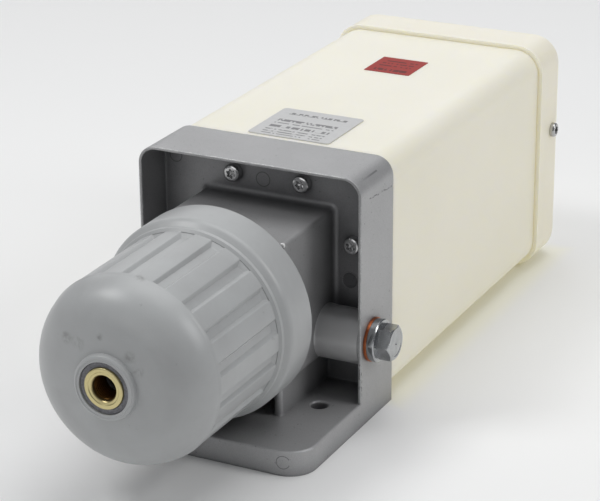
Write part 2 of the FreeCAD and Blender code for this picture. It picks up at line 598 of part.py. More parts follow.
def make_springs():
    """The return spring behind the piston and the small spring behind the valve ball."""
    piston_back = size("front_wall") + size("inner_round") + size("piston_gap") + size("piston_thickness")
    floor = size("frame_front") - size("block_reach") + size("chamber_floor")
    coil("return_spring", piston_back - size("nose_reach"), floor - size("liner_flange") - size("seat_plate"),
         size("spring_radius"), size("spring_wire"), size("spring_turns"))
    ball = floor + size("liner_length") + size("seat_length") + size("ball_rest")
    crown = math.sqrt(size("ball_radius") ** 2 - size("valve_spring_radius") ** 2)
    plug_front = size("frame_front") + size("plate_setback") + size("plate_thickness") - size("valve_plug_length")
    coil("valve_spring", ball + crown, plug_front, size("valve_spring_radius"), size("valve_spring_wire"),
         size("valve_spring_turns"))


# Pump cylinder, its seals and the outlet valve

def make_cylinder():
    """The hardened pump cylinder, pressed down by the spring seat, with its gland."""
    annulus = f"({CHAMBER_FLOOR} + annulus_start)"
    ring = f"({CHAMBER_FLOOR} + liner_seal_place)"
    bore = "plunger_radius + running_gap"
    gland = f"({LINER_FRONT} + gland_depth)"
    turned("pump_cylinder", [
        (LINER_FRONT, "gland_radius"), (LINER_FRONT, "liner_flange_radius"), (CHAMBER_FLOOR, "liner_flange_radius"),
        (CHAMBER_FLOOR, "liner_radius"), (annulus, "liner_radius"), (annulus, "liner_radius - annulus_depth"),
        (f"{annulus} + annulus_length", "liner_radius - annulus_depth"), (f"{annulus} + annulus_length", "liner_radius"),
        (ring, "liner_radius"), (ring, "liner_radius - liner_seal_depth"),
        (f"{ring} + liner_seal_width", "liner_radius - liner_seal_depth"), (f"{ring} + liner_seal_width", "liner_radius"),
        (LINER_END, "liner_radius"), (LINER_END, bore), (gland, bore), (gland, "gland_radius"),
    ])
    liner = nodes[-1]
    pocket(liner, "Feed", circles(liner, "FeedCircle", "XY", "feed_bore / 2", [("0", FEED_Y)], "-liner_radius"),
           "2 * liner_radius", back=True)
    tube("liner_seal", f"{ring} + fit_gap", f"{ring} + liner_seal_width - fit_gap",
         "liner_radius - liner_seal_depth + fit_gap", "liner_radius")
    bush_back = f"({LINER_FRONT} + guide_bush)"
    tube("plunger_guide", LINER_FRONT, bush_back, "plunger_radius + seal_gap", "gland_radius - fit_gap")
    tube("plunger_seal", bush_back, gland, "plunger_radius + seal_gap", "gland_radius - fit_gap")
    turned("spring_seat", [
        (SEAT_FRONT, "seat_hole"), (LINER_FRONT, "seat_hole"), (LINER_FRONT, "liner_flange_radius + seal_gap"),
        (CHAMBER_FLOOR, "liner_flange_radius + seal_gap"), (CHAMBER_FLOOR, "seat_radius"), (SEAT_FRONT, "seat_radius"),
    ])


def make_valve():
    """The ball valve in the delivery bore and the plug that closes it from the tank side."""
    seat_back = f"({LINER_END} + seat_length)"
    turned("valve_seat", [
        (LINER_END, "seat_bore"), (LINER_END, "valve_bore - fit_gap"), (seat_back, "valve_bore - fit_gap"),
        (seat_back, "seat_cone"), (f"{seat_back} - seat_cone_depth", "seat_bore"),
    ])
    ball = doc.addObject("Part::Sphere", "ValveBall")
    ball.Label = "valve_ball"
    ball.setExpression("Radius", formula("ball_radius"))
    ball.setExpression("Placement.Base.y", formula(f"{seat_back} + ball_rest"))
    ball.setExpression("Placement.Base.z", formula("axis_height"))
    nodes.append(ball)
    head = f"({PLATE_BACK} + valve_washer)"
    plug_front = f"({PLATE_BACK} - valve_plug_length)"
    turned("valve_plug", [
        (plug_front, "0"), (plug_front, "valve_bore - fit_gap - valve_plug_chamfer"),
        (f"{plug_front} + valve_plug_chamfer", "valve_bore - fit_gap"), (head, "valve_bore - fit_gap"),
        (head, "valve_plug_head_radius"), (f"{head} + valve_plug_head", "valve_plug_head_radius"),
        (f"{head} + valve_plug_head", "0"),
    ])
    plug = nodes[-1]
    slot = rectangle(plug, "SlotOutline", "XZ", "-valve_plug_head_radius", "valve_plug_head_radius",
                     "-valve_plug_slot / 2", "valve_plug_slot / 2", f"{head} + valve_plug_head")
    pocket(plug, "Slot", slot, "valve_plug_slot", back=True)
    tube("valve_plug_washer", PLATE_BACK, head, "valve_bore + fit_gap", "valve_plug_head_radius")


def make_strainer():
    """The flanged strainer at the mouth of the suction passage, and the plug that closes its drilling."""
    rim_back = f"({PLATE_BACK} + strainer_rim_thickness)"
    turned("suction_strainer", [
        (f"{PLATE_BACK} - strainer_depth", "strainer_hole / 2"), (f"{PLATE_BACK} - strainer_depth", "strainer_bore / 2"),
        (PLATE_BACK, "strainer_bore / 2"), (PLATE_BACK, "strainer_rim / 2"), (rim_back, "strainer_rim / 2"),
        (rim_back, "strainer_hole / 2"),
    ], height="suction_height")
    stopper = new_body("passage_plug")
    pad(stopper, "Stopper", circles(stopper, "StopperCircle", "XY", "passage_plug / 2", [("0", FEED_Y)],
                                    "block_top - passage_plug_sunk - passage_plug_length"), "passage_plug_length")


# Screw plug in the right-hand port

def make_screw_plug():
    """The steel screw plug and its copper washer."""
    washer = new_body("plug_washer", "port_height", PORT_Y)
    face = f"({HALF_WIDTH} + plug_washer_width)"
    turn(washer, "Washer", outline(washer, "WasherProfile", "XZ", [
        (HALF_WIDTH, "port_bore / 2 + fit_gap"), (face, "port_bore / 2 + fit_gap"),
        (face, "plug_washer_radius"), (HALF_WIDTH, "plug_washer_radius")]))
    plug = new_body("screw_plug", "port_height", PORT_Y)
    collar = f"({face} + plug_collar)"
    end = f"({collar} + plug_hex_height)"
    inner = f"({HALF_WIDTH} - plug_thread)"
    turn(plug, "PlugTurned", outline(plug, "PlugProfile", "XZ", [
        (inner, "0"), (inner, "port_bore / 2 - fit_gap - plug_chamfer"),
        (f"{inner} + plug_chamfer", "port_bore / 2 - fit_gap"), (face, "port_bore / 2 - fit_gap"),
        (face, "plug_collar_radius"), (collar, "plug_collar_radius"), (collar, "0")]))
    pad(plug, "PlugHex", hexagon(plug, "PlugHexOutline", "YZ", "plug_hex", collar), "plug_hex_height")
    turn(plug, "HexChamfer", outline(plug, "HexChamferProfile", "XZ", [
        (end, "plug_hex / 2 - plug_chamfer / 2"), (end, "plug_hex / 2 / cos(30) + plug_chamfer"),
        (f"{end} - plug_hex * tan(30) * (1 / cos(30) - 1) / 2 - plug_chamfer", "plug_hex / 2 / cos(30) + plug_chamfer")]),
        "Groove")


# Reservoir, lid and their fastenings

def make_tank():
    """The moulded reservoir, open under its lid and windowed towards the pump."""
    body = new_body("reservoir_tank")
    half = size("frame_width") / 2
    pad(body, "TankShell", rectangle(body, "TankOutline", "XZ", f"-{HALF_WIDTH}", HALF_WIDTH,
                                     "tank_bottom", "frame_height", FRAME_BACK), "tank_length", back=True)
    gap_side = f"{HALF_WIDTH} - rear_wall - neck_gap"
    neck_low = "foot_thickness + rear_sill + neck_gap"
    neck_high = "frame_height - rear_wall - neck_gap"
    neck = pad(body, "Neck", rectangle(body, "NeckOutline", "XZ", f"-({gap_side})", gap_side, neck_low, neck_high,
                                       TANK_FLANGE_FRONT), f"{FRAME_BACK} - {TANK_FLANGE_FRONT}", back=True)
    front = size("frame_front") + size("plate_setback") + size("plate_thickness") + size("gasket_thickness")
    fillet(body, "NeckCorners", neck, "frame_corner - rear_wall", lambda e: (
        straight(e, "Y") and near(e.BoundBox.YMin, front)))
    cavity = pocket(body, "Cavity", rectangle(
        body, "CavityOutline", "XZ", f"-{HALF_WIDTH} + tank_wall", f"{HALF_WIDTH} - tank_wall",
        "tank_bottom + tank_wall", "frame_height - tank_wall", TANK_END), "tank_length - tank_wall", back=True)
    end = size("frame_front") + size("frame_depth") + size("tank_length")
    shell = fillet(body, "CavityCorners", cavity, "tank_corner - tank_wall", lambda e: (
        straight(e, "Y") and near(e.BoundBox.YMax, end) and near(abs(reach(e, "X")), half - size("tank_wall"))))
    fillet(body, "TankCorners", shell, "tank_corner", lambda e: (
        straight(e, "Y") and near(e.BoundBox.YMax, end) and near(abs(reach(e, "X")), half)))
    pocket(body, "NeckCavity", rectangle(
        body, "NeckCavityOutline", "XZ", f"-({gap_side}) + tank_wall", f"{gap_side} - tank_wall",
        f"{neck_low} + tank_wall", f"{neck_high} - tank_wall", f"{FRAME_BACK} + tank_wall"),
        f"{FRAME_BACK} + tank_wall - {TANK_FLANGE_BACK}", back=True)
    add_window(body, TANK_FLANGE_FRONT, "tank_flange")
    pocket(body, "SleeveHoles", circles(body, "SleeveCircles", "XZ", "screw_thread / 2 + sleeve_wall",
                                        SCREW_CENTRES, TANK_FLANGE_FRONT), "tank_flange")
    for side in (-1, 1):
        name = "LeftBoss" if side < 0 else "RightBoss"
        wall = f"{side} * ({HALF_WIDTH} - tank_wall)"
        pad(body, name, circles(body, name + "Circle", "YZ", "lid_boss_radius", [(LID_SCREW_Y, "lid_screw_z")], wall),
            "lid_boss_height", back=side > 0)
        face = f"{side} * {HALF_WIDTH}"
        pocket(body, name + "Hole", circles(body, name + "HoleCircle", "YZ", "lid_screw_thread / 2 + fit_gap",
                                            [(LID_SCREW_Y, "lid_screw_z")], face),
               "tank_wall + lid_boss_height", back=side < 0)


def add_window(body, front, depth):
    """The rounded window between the pump and the reservoir."""
    place = {"tank_flange": "TankWindow", "gasket_thickness": "GasketWindow"}[depth]
    window = pocket(body, place, rectangle(body, place + "Outline", "XZ", "-window_width / 2", "window_width / 2",
                                           "window_bottom", "window_top", front), depth)
    half = size("window_width") / 2
    fillet(body, place + "Corners", window, "window_corner", lambda e: (
        straight(e, "Y") and near(abs(reach(e, "X")), half)
        and (level(e, "Z", size("window_bottom")) or level(e, "Z", size("window_top")))))


def make_gasket():
    """The flat gasket between the plate and the reservoir's flange."""
    body = new_body("tank_gasket")
    side = f"({HALF_WIDTH} - rear_wall - neck_gap)"
    sheet_pad = pad(body, "GasketSheet", rectangle(
        body, "GasketOutline", "XZ", f"-{side}", side, "foot_thickness + rear_sill + neck_gap",
        "frame_height - rear_wall - neck_gap", PLATE_BACK), "gasket_thickness", back=True)
    fillet(body, "GasketCorners", sheet_pad, "frame_corner - rear_wall", lambda e: straight(e, "Y"))
    add_window(body, PLATE_BACK, "gasket_thickness")
    pocket(body, "GasketHoles", circles(body, "GasketCircles", "XZ", "screw_thread / 2 + screw_clearance",
                                        SCREW_CENTRES, PLATE_BACK), "gasket_thickness")


def make_flange_screws():
    """Six pan-head screws and the brass sleeves that they grip in the reservoir's flange."""
    screws = new_body("flange_screws", several=True)
    heads = pad(screws, "Heads", circles(screws, "HeadCircles", "XZ", "screw_head_radius", SCREW_CENTRES, PLATE_FRONT),
                "screw_head")
    front = size("frame_front") + size("plate_setback") - size("screw_head")
    chamfer(screws, "HeadRounds", heads, "head_round", lambda e: level(e, "Y", front))
    pad(screws, "Shanks", circles(screws, "ShankCircles", "XZ", "screw_thread / 2 - fit_gap", SCREW_CENTRES,
                                  PLATE_FRONT), "screw_length", back=True)
    pocket(screws, "Drives", circles(screws, "DriveCircles", "XZ", "drive_radius", SCREW_CENTRES,
                                     f"{PLATE_FRONT} - screw_head"), "drive_depth")
    sleeves = new_body("tank_inserts", several=True)
    pad(sleeves, "Sleeves", circles(sleeves, "SleeveOuter", "XZ", "screw_thread / 2 + sleeve_wall - fit_gap",
                                    SCREW_CENTRES, TANK_FLANGE_FRONT), "tank_flange", back=True)
    pocket(sleeves, "SleeveBores", circles(sleeves, "SleeveInner", "XZ", "screw_thread / 2", SCREW_CENTRES,
                                           TANK_FLANGE_FRONT), "tank_flange")


def make_lid():
    """The lid that slips over the reservoir's open end, and its two screws."""
    body = new_body("reservoir_lid")
    low = "tank_bottom - lid_gap - lid_wall"
    high = "frame_height + lid_gap + lid_wall"
    pad(body, "LidBox", rectangle(body, "LidOutline", "XZ", f"-{LID_HALF}", LID_HALF, low, high, LID_LIP),
        f"{LID_BACK} - {LID_LIP}", back=True)
    back = size("frame_front") + size("frame_depth") + size("tank_length") + size("lid_space") + size("lid_wall")
    lip = size("frame_front") + size("frame_depth") + size("tank_length") - size("lid_lap")
    inner = back - size("lid_wall")
    cut = pocket(body, "LidInside", rectangle(
        body, "LidInsideOutline", "XZ", f"-{LID_HALF} + lid_wall", f"{LID_HALF} - lid_wall",
        "tank_bottom - lid_gap", "frame_height + lid_gap", LID_LIP), f"{LID_INNER} - {LID_LIP}")
    half = size("frame_width") / 2 + size("lid_gap")
    cut = fillet(body, "LidInsideCorners", cut, "tank_corner + lid_gap", lambda e: (
        straight(e, "Y") and near(e.BoundBox.YMin, lip) and near(abs(reach(e, "X")), half)))
    box = fillet(body, "LidInsideRound", cut, "lid_back_round - lid_wall", lambda e: level(e, "Y", inner))
    box = fillet(body, "LidCorners", box, "tank_corner + lid_gap + lid_wall", lambda e: (
        straight(e, "Y") and near(e.BoundBox.YMax, back)))
    fillet(body, "LidBackRound", box, "lid_back_round", lambda e: level(e, "Y", back))
    screws = new_body("lid_screws", several=True)
    place = [(LID_SCREW_Y, "lid_screw_z")]
    for side in (-1, 1):
        name = "Left" if side < 0 else "Right"
        face = f"{side} * {LID_HALF}"
        pocket(body, name + "ScrewHole", circles(body, name + "HoleCircle", "YZ",
                                                 "lid_screw_thread / 2 + screw_clearance", place, face),
               "lid_wall + lid_gap", back=side < 0)
        head = pad(screws, name + "Head", circles(screws, name + "HeadCircle", "YZ", "lid_screw_head_radius", place,
                                                  face), "lid_screw_head", back=side < 0)
        crown = side * (half + size("lid_wall") + size("lid_screw_head"))
        chamfer(screws, name + "HeadRound", head, "lid_screw_round", lambda e: level(e, "X", crown))
        pad(screws, name + "Shank", circles(screws, name + "ShankCircle", "YZ", "lid_screw_thread / 2 - fit_gap",
                                            place, face), "lid_screw_length", back=side > 0)


def make_plates():
    """The bare metal plate and the bare red label on top of the reservoir."""
    plates = [("nameplate", "name_x", "name_width", "name_place", "name_length", "name_thickness", "name_corner"),
              ("top_label", "0", "label_side", "label_place", "label_side", "label_thickness", "label_corner")]
    for label, middle, width, place, length, thickness, corner in plates:
        body = new_body(label)
        blank = pad(body, "Blank_" + label, rectangle(
            body, "Outline_" + label, "XY", f"{middle} - {width} / 2", f"{middle} + {width} / 2",
            f"{FRAME_BACK} + {place}", f"{FRAME_BACK} + {place} + {length}", "frame_height"), thickness)
        fillet(body, "Corners_" + label, blank, corner, lambda e: straight(e, "Z"))


# Assembly, check and export

make_housing()
make_cap()
make_piston()
make_springs()
make_cylinder()
make_valve()
make_strainer()
make_screw_plug()
make_tank()
make_gasket()
make_flange_screws()
make_lid()
make_plates()
doc.recompute()

faults = [obj.Label for obj in doc.Objects if {"Invalid", "Error"} & set(obj.State)]
faults += [node.Label for node in nodes if node.Shape.isNull() or not node.Shape.isValid() or not node.Shape.Solids]
if faults:
    raise RuntimeError("failed objects: " + ", ".join(faults))

os.makedirs("parts", exist_ok=True)
for node in nodes:
    node.Shape.exportStep(f"parts/{node.Label}.step")
    box = node.Shape.BoundBox
    print(f"{node.Label}: {len(node.Shape.Solids)} solid, {node.Shape.Volume / 1000:.2f} cm3, "
          f"X {box.XMin:.1f}..{box.XMax:.1f}  Y {box.YMin:.1f}..{box.YMax:.1f}  Z {box.ZMin:.1f}..{box.ZMax:.1f}")
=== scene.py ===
# Lubrication pump: a cast frame with a fluted air cylinder cap in front and a cream reservoir behind.
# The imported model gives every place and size, and this script gives the finish and the finely shaped pieces.
import math
from types import SimpleNamespace

import bpy
import numpy as np
from mathutils import Matrix, Vector


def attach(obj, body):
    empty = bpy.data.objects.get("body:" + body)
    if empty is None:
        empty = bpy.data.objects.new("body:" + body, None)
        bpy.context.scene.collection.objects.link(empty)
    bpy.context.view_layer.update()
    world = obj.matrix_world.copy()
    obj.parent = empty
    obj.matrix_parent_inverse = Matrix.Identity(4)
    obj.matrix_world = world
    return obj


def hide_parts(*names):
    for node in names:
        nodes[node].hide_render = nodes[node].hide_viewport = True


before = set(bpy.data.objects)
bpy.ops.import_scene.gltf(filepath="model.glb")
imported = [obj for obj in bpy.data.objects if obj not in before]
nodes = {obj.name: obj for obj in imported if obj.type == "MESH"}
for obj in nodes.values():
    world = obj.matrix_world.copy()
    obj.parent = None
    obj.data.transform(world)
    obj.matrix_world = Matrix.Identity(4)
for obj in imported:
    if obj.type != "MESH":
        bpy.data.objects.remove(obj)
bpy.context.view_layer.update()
mm = 0.001
axisHeight = 71.5  # mm: the cylinder's axis above the foot's underside
creaseAngle = math.radians(35)  # edges sharper than this are shown sharp
print("frame loaded:", len(nodes), "nodes")


# Camera, floor and light

# The camera stands where the photograph's did, worked out from the casting's straight edges.
viewSettings = {
    "place": (0.525267, -0.965779, 0.530274),  # metres
    "right": (0.89292, 0.45016, -0.00693),
    "down": (0.16088, -0.33341, -0.92895),
    "forward": (-0.42049, 0.82837, -0.37013),
    "lens": 136.765, "sensor": 36.0,  # mm
    "nearest": 0.01,
}

lightSettings = {
    "worldColour": (0.94, 0.96, 1.0), "worldStrength": 0.22,
    "lamps": [
        # name, place, aimed at, width, height, watts
        ("topLeft", (-0.95, -0.55, 1.60), (0.0, 0.0, 0.07), 0.55, 0.55, 10.5),
        ("topRight", (1.45, 0.30, 1.15), (0.0, 0.05, 0.07), 0.6, 0.8, 8.5),
        ("overhead", (0.0, 0.55, 2.20), (0.0, 0.15, 0.05), 2.0, 1.6, 23.0),
        ("rear", (-1.13, 2.24, 1.10), (0.0, 0.10, 0.10), 2.6, 1.2, 7.5),
        ("front", (-0.3, -2.4, 0.9), (0.0, 0.0, 0.05), 1.6, 1.0, 6.0),
    ],
}

floorSettings = {
    "size": 12.0, "colour": (0.865, 0.865, 0.86), "roughness": 0.75,
    # painted shade: a darker floor in front of the object and out of view, standing in for the dark
    # surroundings there
    "shade": (0.36, 0.36, 0.36), "shadeTowards": (0.452, -0.892, 0.0), "shadeRun": (0.26, 0.60),
    # cream light that the reservoir lets through: half width, front and rear of its footprint, in metres
    "glow": (0.90, 0.89, 0.80), "glowBox": (0.066, 0.050, 0.290), "glowReach": 0.014,
}


def placeObject(name, data):
    item = bpy.data.objects.new(name, data)
    bpy.context.scene.collection.objects.link(item)
    return item


def makeCamera():
    s = viewSettings
    right, down, forward = Vector(s["right"]), Vector(s["down"]), Vector(s["forward"])
    data = bpy.data.cameras.new("camera")
    data.sensor_fit = "HORIZONTAL"
    data.sensor_width, data.lens, data.clip_start = s["sensor"], s["lens"], s["nearest"]
    camera = placeObject("camera", data)
    turn = Matrix((right, -down, -forward)).transposed().to_4x4()
    camera.matrix_world = Matrix.Translation(Vector(s["place"])) @ turn
    bpy.context.scene.camera = camera


# Soft boxes on both sides, a broad one overhead, two fills and a dim even sky.
def makeLight():
    s = lightSettings
    world = bpy.data.worlds.new("studio")
    world.use_nodes = True
    sky = world.node_tree.nodes["Background"]
    sky.inputs["Color"].default_value = (*s["worldColour"], 1.0)
    sky.inputs["Strength"].default_value = s["worldStrength"]
    bpy.context.scene.world = world
    for name, place, target, width, height, watts in s["lamps"]:
        data = bpy.data.lights.new(name, "AREA")
        data.shape = "RECTANGLE"
        data.size, data.size_y, data.energy = width, height, watts
        lamp = placeObject(name, data)
        lamp.location = place
        lamp.rotation_euler = (Vector(target) - Vector(place)).to_track_quat("-Z", "Y").to_euler()


# Materials

# A new material with short ways to add its nodes. Each way takes sockets or plain values, a single number
# stands for a grey, and all patterns lie on the piece's own coordinates in metres.
def newFinish(name):
    material = bpy.data.materials.new(name)
    material.use_nodes = True
    tree = material.node_tree
    shader = tree.nodes["Principled BSDF"]

    def colourOf(value):
        return (*value, 1.0) if isinstance(value, tuple) else (value, value, value, 1.0)

    def plug(socket, value):
        if isinstance(value, bpy.types.NodeSocket):
            tree.links.new(value, socket)
        else:
            socket.default_value = colourOf(value) if socket.type == "RGBA" else value

    def add(kind, inputs=None, **options):
        node = tree.nodes.new("ShaderNode" + kind)
        for key, value in options.items():
            setattr(node, key, value)
        for key, value in (inputs or {}).items():
            plug(node.inputs[key], value)
        return node

    place = add("TexCoord").outputs["Object"]
    parts = add("SeparateXYZ", {"Vector": place}).outputs

    def calc(operation, *values):
        return add("Math", dict(enumerate(values)), operation=operation).outputs["Value"]

    def vector(operation, *values):
        node = add("VectorMath", dict(enumerate(values)), operation=operation)
        return node.outputs["Value" if operation in ("DISTANCE", "DOT_PRODUCT") else "Vector"]

    # Several masks multiplied, or the largest of them.
    def combine(operation, first, *others):
        for other in others:
            first = calc(operation, first, other)
        return first

    # Distance from a line through centre; keep holds 1 for the axes that count and 0 for the line's own.
    def lineDistance(centre, keep):
        return vector("DISTANCE", vector("MULTIPLY", place, keep), centre)

    # Fractal noise; the scale is in waves per metre.
    def noise(scale, detail=4.0, rough=0.55, warp=0.0):
        return add("TexNoise", {"Vector": place, "Scale": scale, "Detail": detail, "Roughness": rough,
                                "Distortion": warp}).outputs["Fac"]

    # A colour that runs from the first stop to the second; a stop is a value of the source and a colour.
    def ramp(source, *stops):
        node = add("ValToRGB", {"Fac": source})
        for item, (spot, colour) in zip(node.color_ramp.elements, stops):
            item.position = spot
            item.color = colourOf(colour)
        return node.outputs["Color"]

    def spread(source, low, high, start=0.0, end=1.0, curve="LINEAR"):
        return add("MapRange", {"Value": source, "From Min": start, "From Max": end, "To Min": low,
                                "To Max": high}, interpolation_type=curve).outputs["Result"]

    # The Mix node has sockets for each kind of value: 0 is the share, 6 and 7 are the two colours.
    def mix(share, first, second, blend="MIX"):
        return add("Mix", {0: share, 6: first, 7: second}, data_type="RGBA", blend_type=blend).outputs[2]

    # Values or sockets for the shader; an underscore in a name stands for a space.
    def shade(**values):
        for key, value in values.items():
            plug(shader.inputs[key.replace("_", " ")], value)

    return SimpleNamespace(material=material, place=place, x=parts["X"], y=parts["Y"], z=parts["Z"], add=add,
                           calc=calc, vector=vector, combine=combine, lineDistance=lineDistance, noise=noise,
                           ramp=ramp, spread=spread, mix=mix, shade=shade)


# A finish for small parts: one tone with a fine cloudy variation of its colour, roughness and grain.
def plainMaterial(name, colour, roughness, metallic=0.0, grain=600.0, variation=0.12, bump=0.1):
    f = newFinish(name)
    cloud = f.noise(grain, 4.0, 0.6)
    low = tuple(c * (1.0 - variation) for c in colour)
    high = tuple(min(1.0, c * (1.0 + variation)) for c in colour)
    fine = f.add("Bump", {"Height": cloud, "Strength": bump, "Distance": 0.0001})
    f.shade(Base_Color=f.ramp(cloud, (0.35, low), (0.65, high)), Metallic=metallic,
            Roughness=f.spread(cloud, roughness * 0.8, roughness * 1.2), Normal=fine.outputs["Normal"])
    return f.material


def makeFloor():
    s = floorSettings
    half = s["size"] / 2
    mesh = bpy.data.meshes.new("floor")
    mesh.from_pydata([(-half, -half, 0), (half, -half, 0), (half, half, 0), (-half, half, 0)], [],
                     [(0, 1, 2, 3)])
    floor = placeObject("floor", mesh)
    f = newFinish("paleFloor")
    # the glow fades with the distance from the footprint's rectangle
    halfWidth, front, rear = s["glowBox"]
    wide = f.calc("SUBTRACT", f.calc("ABSOLUTE", f.x), halfWidth)
    along = f.calc("ABSOLUTE", f.calc("SUBTRACT", f.y, (front + rear) / 2))
    away = f.calc("MAXIMUM", wide, f.calc("SUBTRACT", along, (rear - front) / 2))
    glow = f.spread(away, 1.0, 0.0, 0.0, s["glowReach"], "SMOOTHSTEP")
    tone = f.mix(glow, s["colour"], s["glow"])
    shade = f.spread(f.vector("DOT_PRODUCT", f.place, s["shadeTowards"]), 0.0, 1.0, *s["shadeRun"],
                     "SMOOTHSTEP")
    f.shade(Base_Color=f.mix(shade, tone, s["shade"]), Roughness=s["roughness"])
    mesh.materials.append(f.material)


# Surfaces

# A smooth shaded piece from points and faces, with its sharp edges marked.
def newPiece(name, vertices, faces):
    mesh = bpy.data.meshes.new(name)
    mesh.from_pydata(vertices.tolist(), [], faces)
    mesh.shade_smooth()
    mesh.set_sharp_from_angle(angle=creaseAngle)
    return placeObject(name, mesh)


# The volume inside the faces, from the tetrahedra that they make with the origin; negative if inside out.
def signedVolume(vertices, faces):
    quads = np.array([f if len(f) == 4 else [*f, f[2]] for f in faces])
    a, b, c, d = (vertices[quads[:, k]] for k in range(4))
    return (np.einsum("ij,ij->i", a, np.cross(b, c)) + np.einsum("ij,ij->i", a, np.cross(c, d))).sum() / 6


# A piece over a grid of points whose columns close round. Its rows close round too, or each open end is
# closed by a fan to its middle.
def gridPiece(name, points, closeRows):
    rows, columns, _ = points.shape
    vertices = points.reshape(-1, 3)
    last = rows if closeRows else rows - 1
    i, j = np.meshgrid(np.arange(last), np.arange(columns), indexing="ij")
    down, across = (i + 1) % rows, (j + 1) % columns
    quads = np.stack([i * columns + j, down * columns + j, down * columns + across, i * columns + across],
                     axis=-1).reshape(-1, 4)
    faces = quads.tolist()
    if not closeRows:
        k = np.arange(columns)
        for row, flip in ((0, True), (rows - 1, False)):
            middle = np.full(columns, len(vertices))
            vertices = np.vstack([vertices, points[row].mean(axis=0)])
            a, b = row * columns + k, row * columns + (k + 1) % columns
            faces += np.stack([a, b, middle] if flip else [b, a, middle], axis=-1).tolist()
    if signedVolume(vertices, faces) < 0:
        faces = [face[::-1] for face in faces]
    return newPiece(name, vertices, faces)


# A path through (along, out, radius) corners, each corner turned into an arc tangent to both its sides.
def roundedPath(corners, steps=6):
    spots = np.array([c[:2] for c in corners], float)
    path = []
    for k, (_, _, radius) in enumerate(corners):
        here = spots[k]
        if radius <= 0 or k in (0, len(corners) - 1):
            path.append(here[None])
            continue
        back, ahead = spots[k - 1] - here, spots[k + 1] - here
        lengthBack, lengthAhead = np.linalg.norm(back), np.linalg.norm(ahead)
        back, ahead = back / lengthBack, ahead / lengthAhead
        half = math.acos(max(-1.0, min(1.0, float(back @ ahead)))) / 2
        run = min(radius / math.tan(half), 0.49 * lengthBack, 0.49 * lengthAhead)
        radius = run * math.tan(half)
        centre = here + (back + ahead) / np.linalg.norm(back + ahead) * radius / math.sin(half)
        first, final = here + back * run - centre, here + ahead * run - centre
        sweep = math.atan2(first[0] * final[1] - first[1] * final[0], float(first @ final))
        angles = np.linspace(0, sweep, steps)
        turn = np.stack([np.cos(angles) * first[0] - np.sin(angles) * first[1],
                         np.sin(angles) * first[0] + np.cos(angles) * first[1]], axis=-1)
        path.append(centre + turn)
    return np.vstack(path)


# A turned piece: (along, radius) points carried round an axis, the radius changed by shape if given.
# Columns are a count, or the angles themselves where they aren't even.
def lathe(name, path, centre, axis="Y", columns=96, closed=True, shape=None):
    angles = np.linspace(0, math.tau, columns, endpoint=False) if np.isscalar(columns) else columns
    along, radius = path[:, :1] * np.ones_like(angles), path[:, 1:] * np.ones_like(angles)
    if shape is not None:
        radius = shape(along, radius, angles[None, :])
    sideways, up = radius * np.sin(angles), radius * np.cos(angles)
    order = {"Y": (sideways, along, up), "X": (along, sideways, up)}[axis]
    return gridPiece(name, np.stack(order, axis=-1) * mm + np.array(centre) * mm, closed)


def meshPoints(mesh):
    flat = np.empty(len(mesh.vertices) * 3)
    mesh.vertices.foreach_get("co", flat)
    return flat.reshape(-1, 3)


# Several pieces made into one.
def joinPieces(name, pieces):
    vertices, faces, start = [], [], 0
    for piece in pieces:
        vertices.append(meshPoints(piece.data))
        faces += [[v + start for v in face.vertices] for face in piece.data.polygons]
        start += len(piece.data.vertices)
        bpy.data.objects.remove(piece)
    return newPiece(name, np.vstack(vertices), faces)


def setMaterial(piece, material):
    piece.data.materials.clear()
    piece.data.materials.append(material)


# Gives a new piece its material and its body, and hides the node that it stands for.
def dress(piece, material, body, replaced):
    setMaterial(piece, material)
    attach(piece, body)
    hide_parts(replaced)


# Casting

castSettings = {
    "light": (0.455, 0.455, 0.46), "dark": (0.41, 0.41, 0.415), "edge": (0.88, 0.88, 0.87),
    "sootAndShade": (0.075, 0.075, 0.08), "bossLight": (0.62, 0.62, 0.62),
    "metallic": 0.50, "roughness": (0.36, 0.48), "bump": 0.22, "bumpDepth": 0.0003, "markShare": 0.62,
    # the noises, in waves per metre
    "blotch": 26.0, "grain": 1900.0, "specks": 620.0, "wander": 260.0, "nickScale": 520.0,
    "scratchBreaks": 900.0,
    # painted shade in the corners: how far the occlusion reaches, and how dark it paints
    "cornerReach": 0.016, "cornerShade": 0.78,
    "cornerRadius": 0.0020, "edgeRadius": 0.0009,  # soft corners, and the arrises painted bright as wear and highlight
    # metres from here on
    "plate": 0.0335,  # the plate's front face along Y
    "recess": (0.0624, 0.1357, 0.012, 0.032, 0.55),  # half width, top, painted shade from and to, its weight
    "boss": (0.024, 0.0455, 0.0144, 0.8),  # Y, Z, radius, weight of its painted light
    "glint": ((0.0380, -0.0235, 0.1110), 0.0019),
    # ejector marks: X, Z and radius, and half the width of a ring's line
    "rings": [(-0.0561, 0.1261, 0.0036), (-0.0035, 0.1205, 0.0040)], "ringLine": 0.00028,
    "disc": (0.0474, 0.0719, 0.0043),
    "footRing": (0.0533, 0.0076, 0.0035), "footRingLine": 0.00022, "footFront": -0.0560,
    # nicks on the right wall's front edge: least X, front, rear, lowest, highest
    "nicks": (0.0612, 0.0090, 0.0115, 0.0138, 0.037),
    # scratch on the right wall: its two ends, how far it wanders, half its width, least X
    "scratch": ((0.065, 0.019, 0.1253), (0.065, 0.047, 0.1231)),
    "scratchWander": 0.0016, "scratchLine": 0.00042, "scratchSide": 0.0645,
}

housingShape = {
    # mm: the recess's half width, top, lowest point, corner radius, front edge and floor
    "inner": 62.4, "top": 135.7, "foot": 13.6, "corner": 7.4, "front": 9.5, "plate": 33.5,
    "thinFront": 1.15, "thinPlate": 0.35,  # how far the wall moves out at the front edge and at the floor
    "onCorner": 0.03, "frontReach": 0.6, "plateReach": 0.02, "footReach": 0.05,  # how the points are picked
}


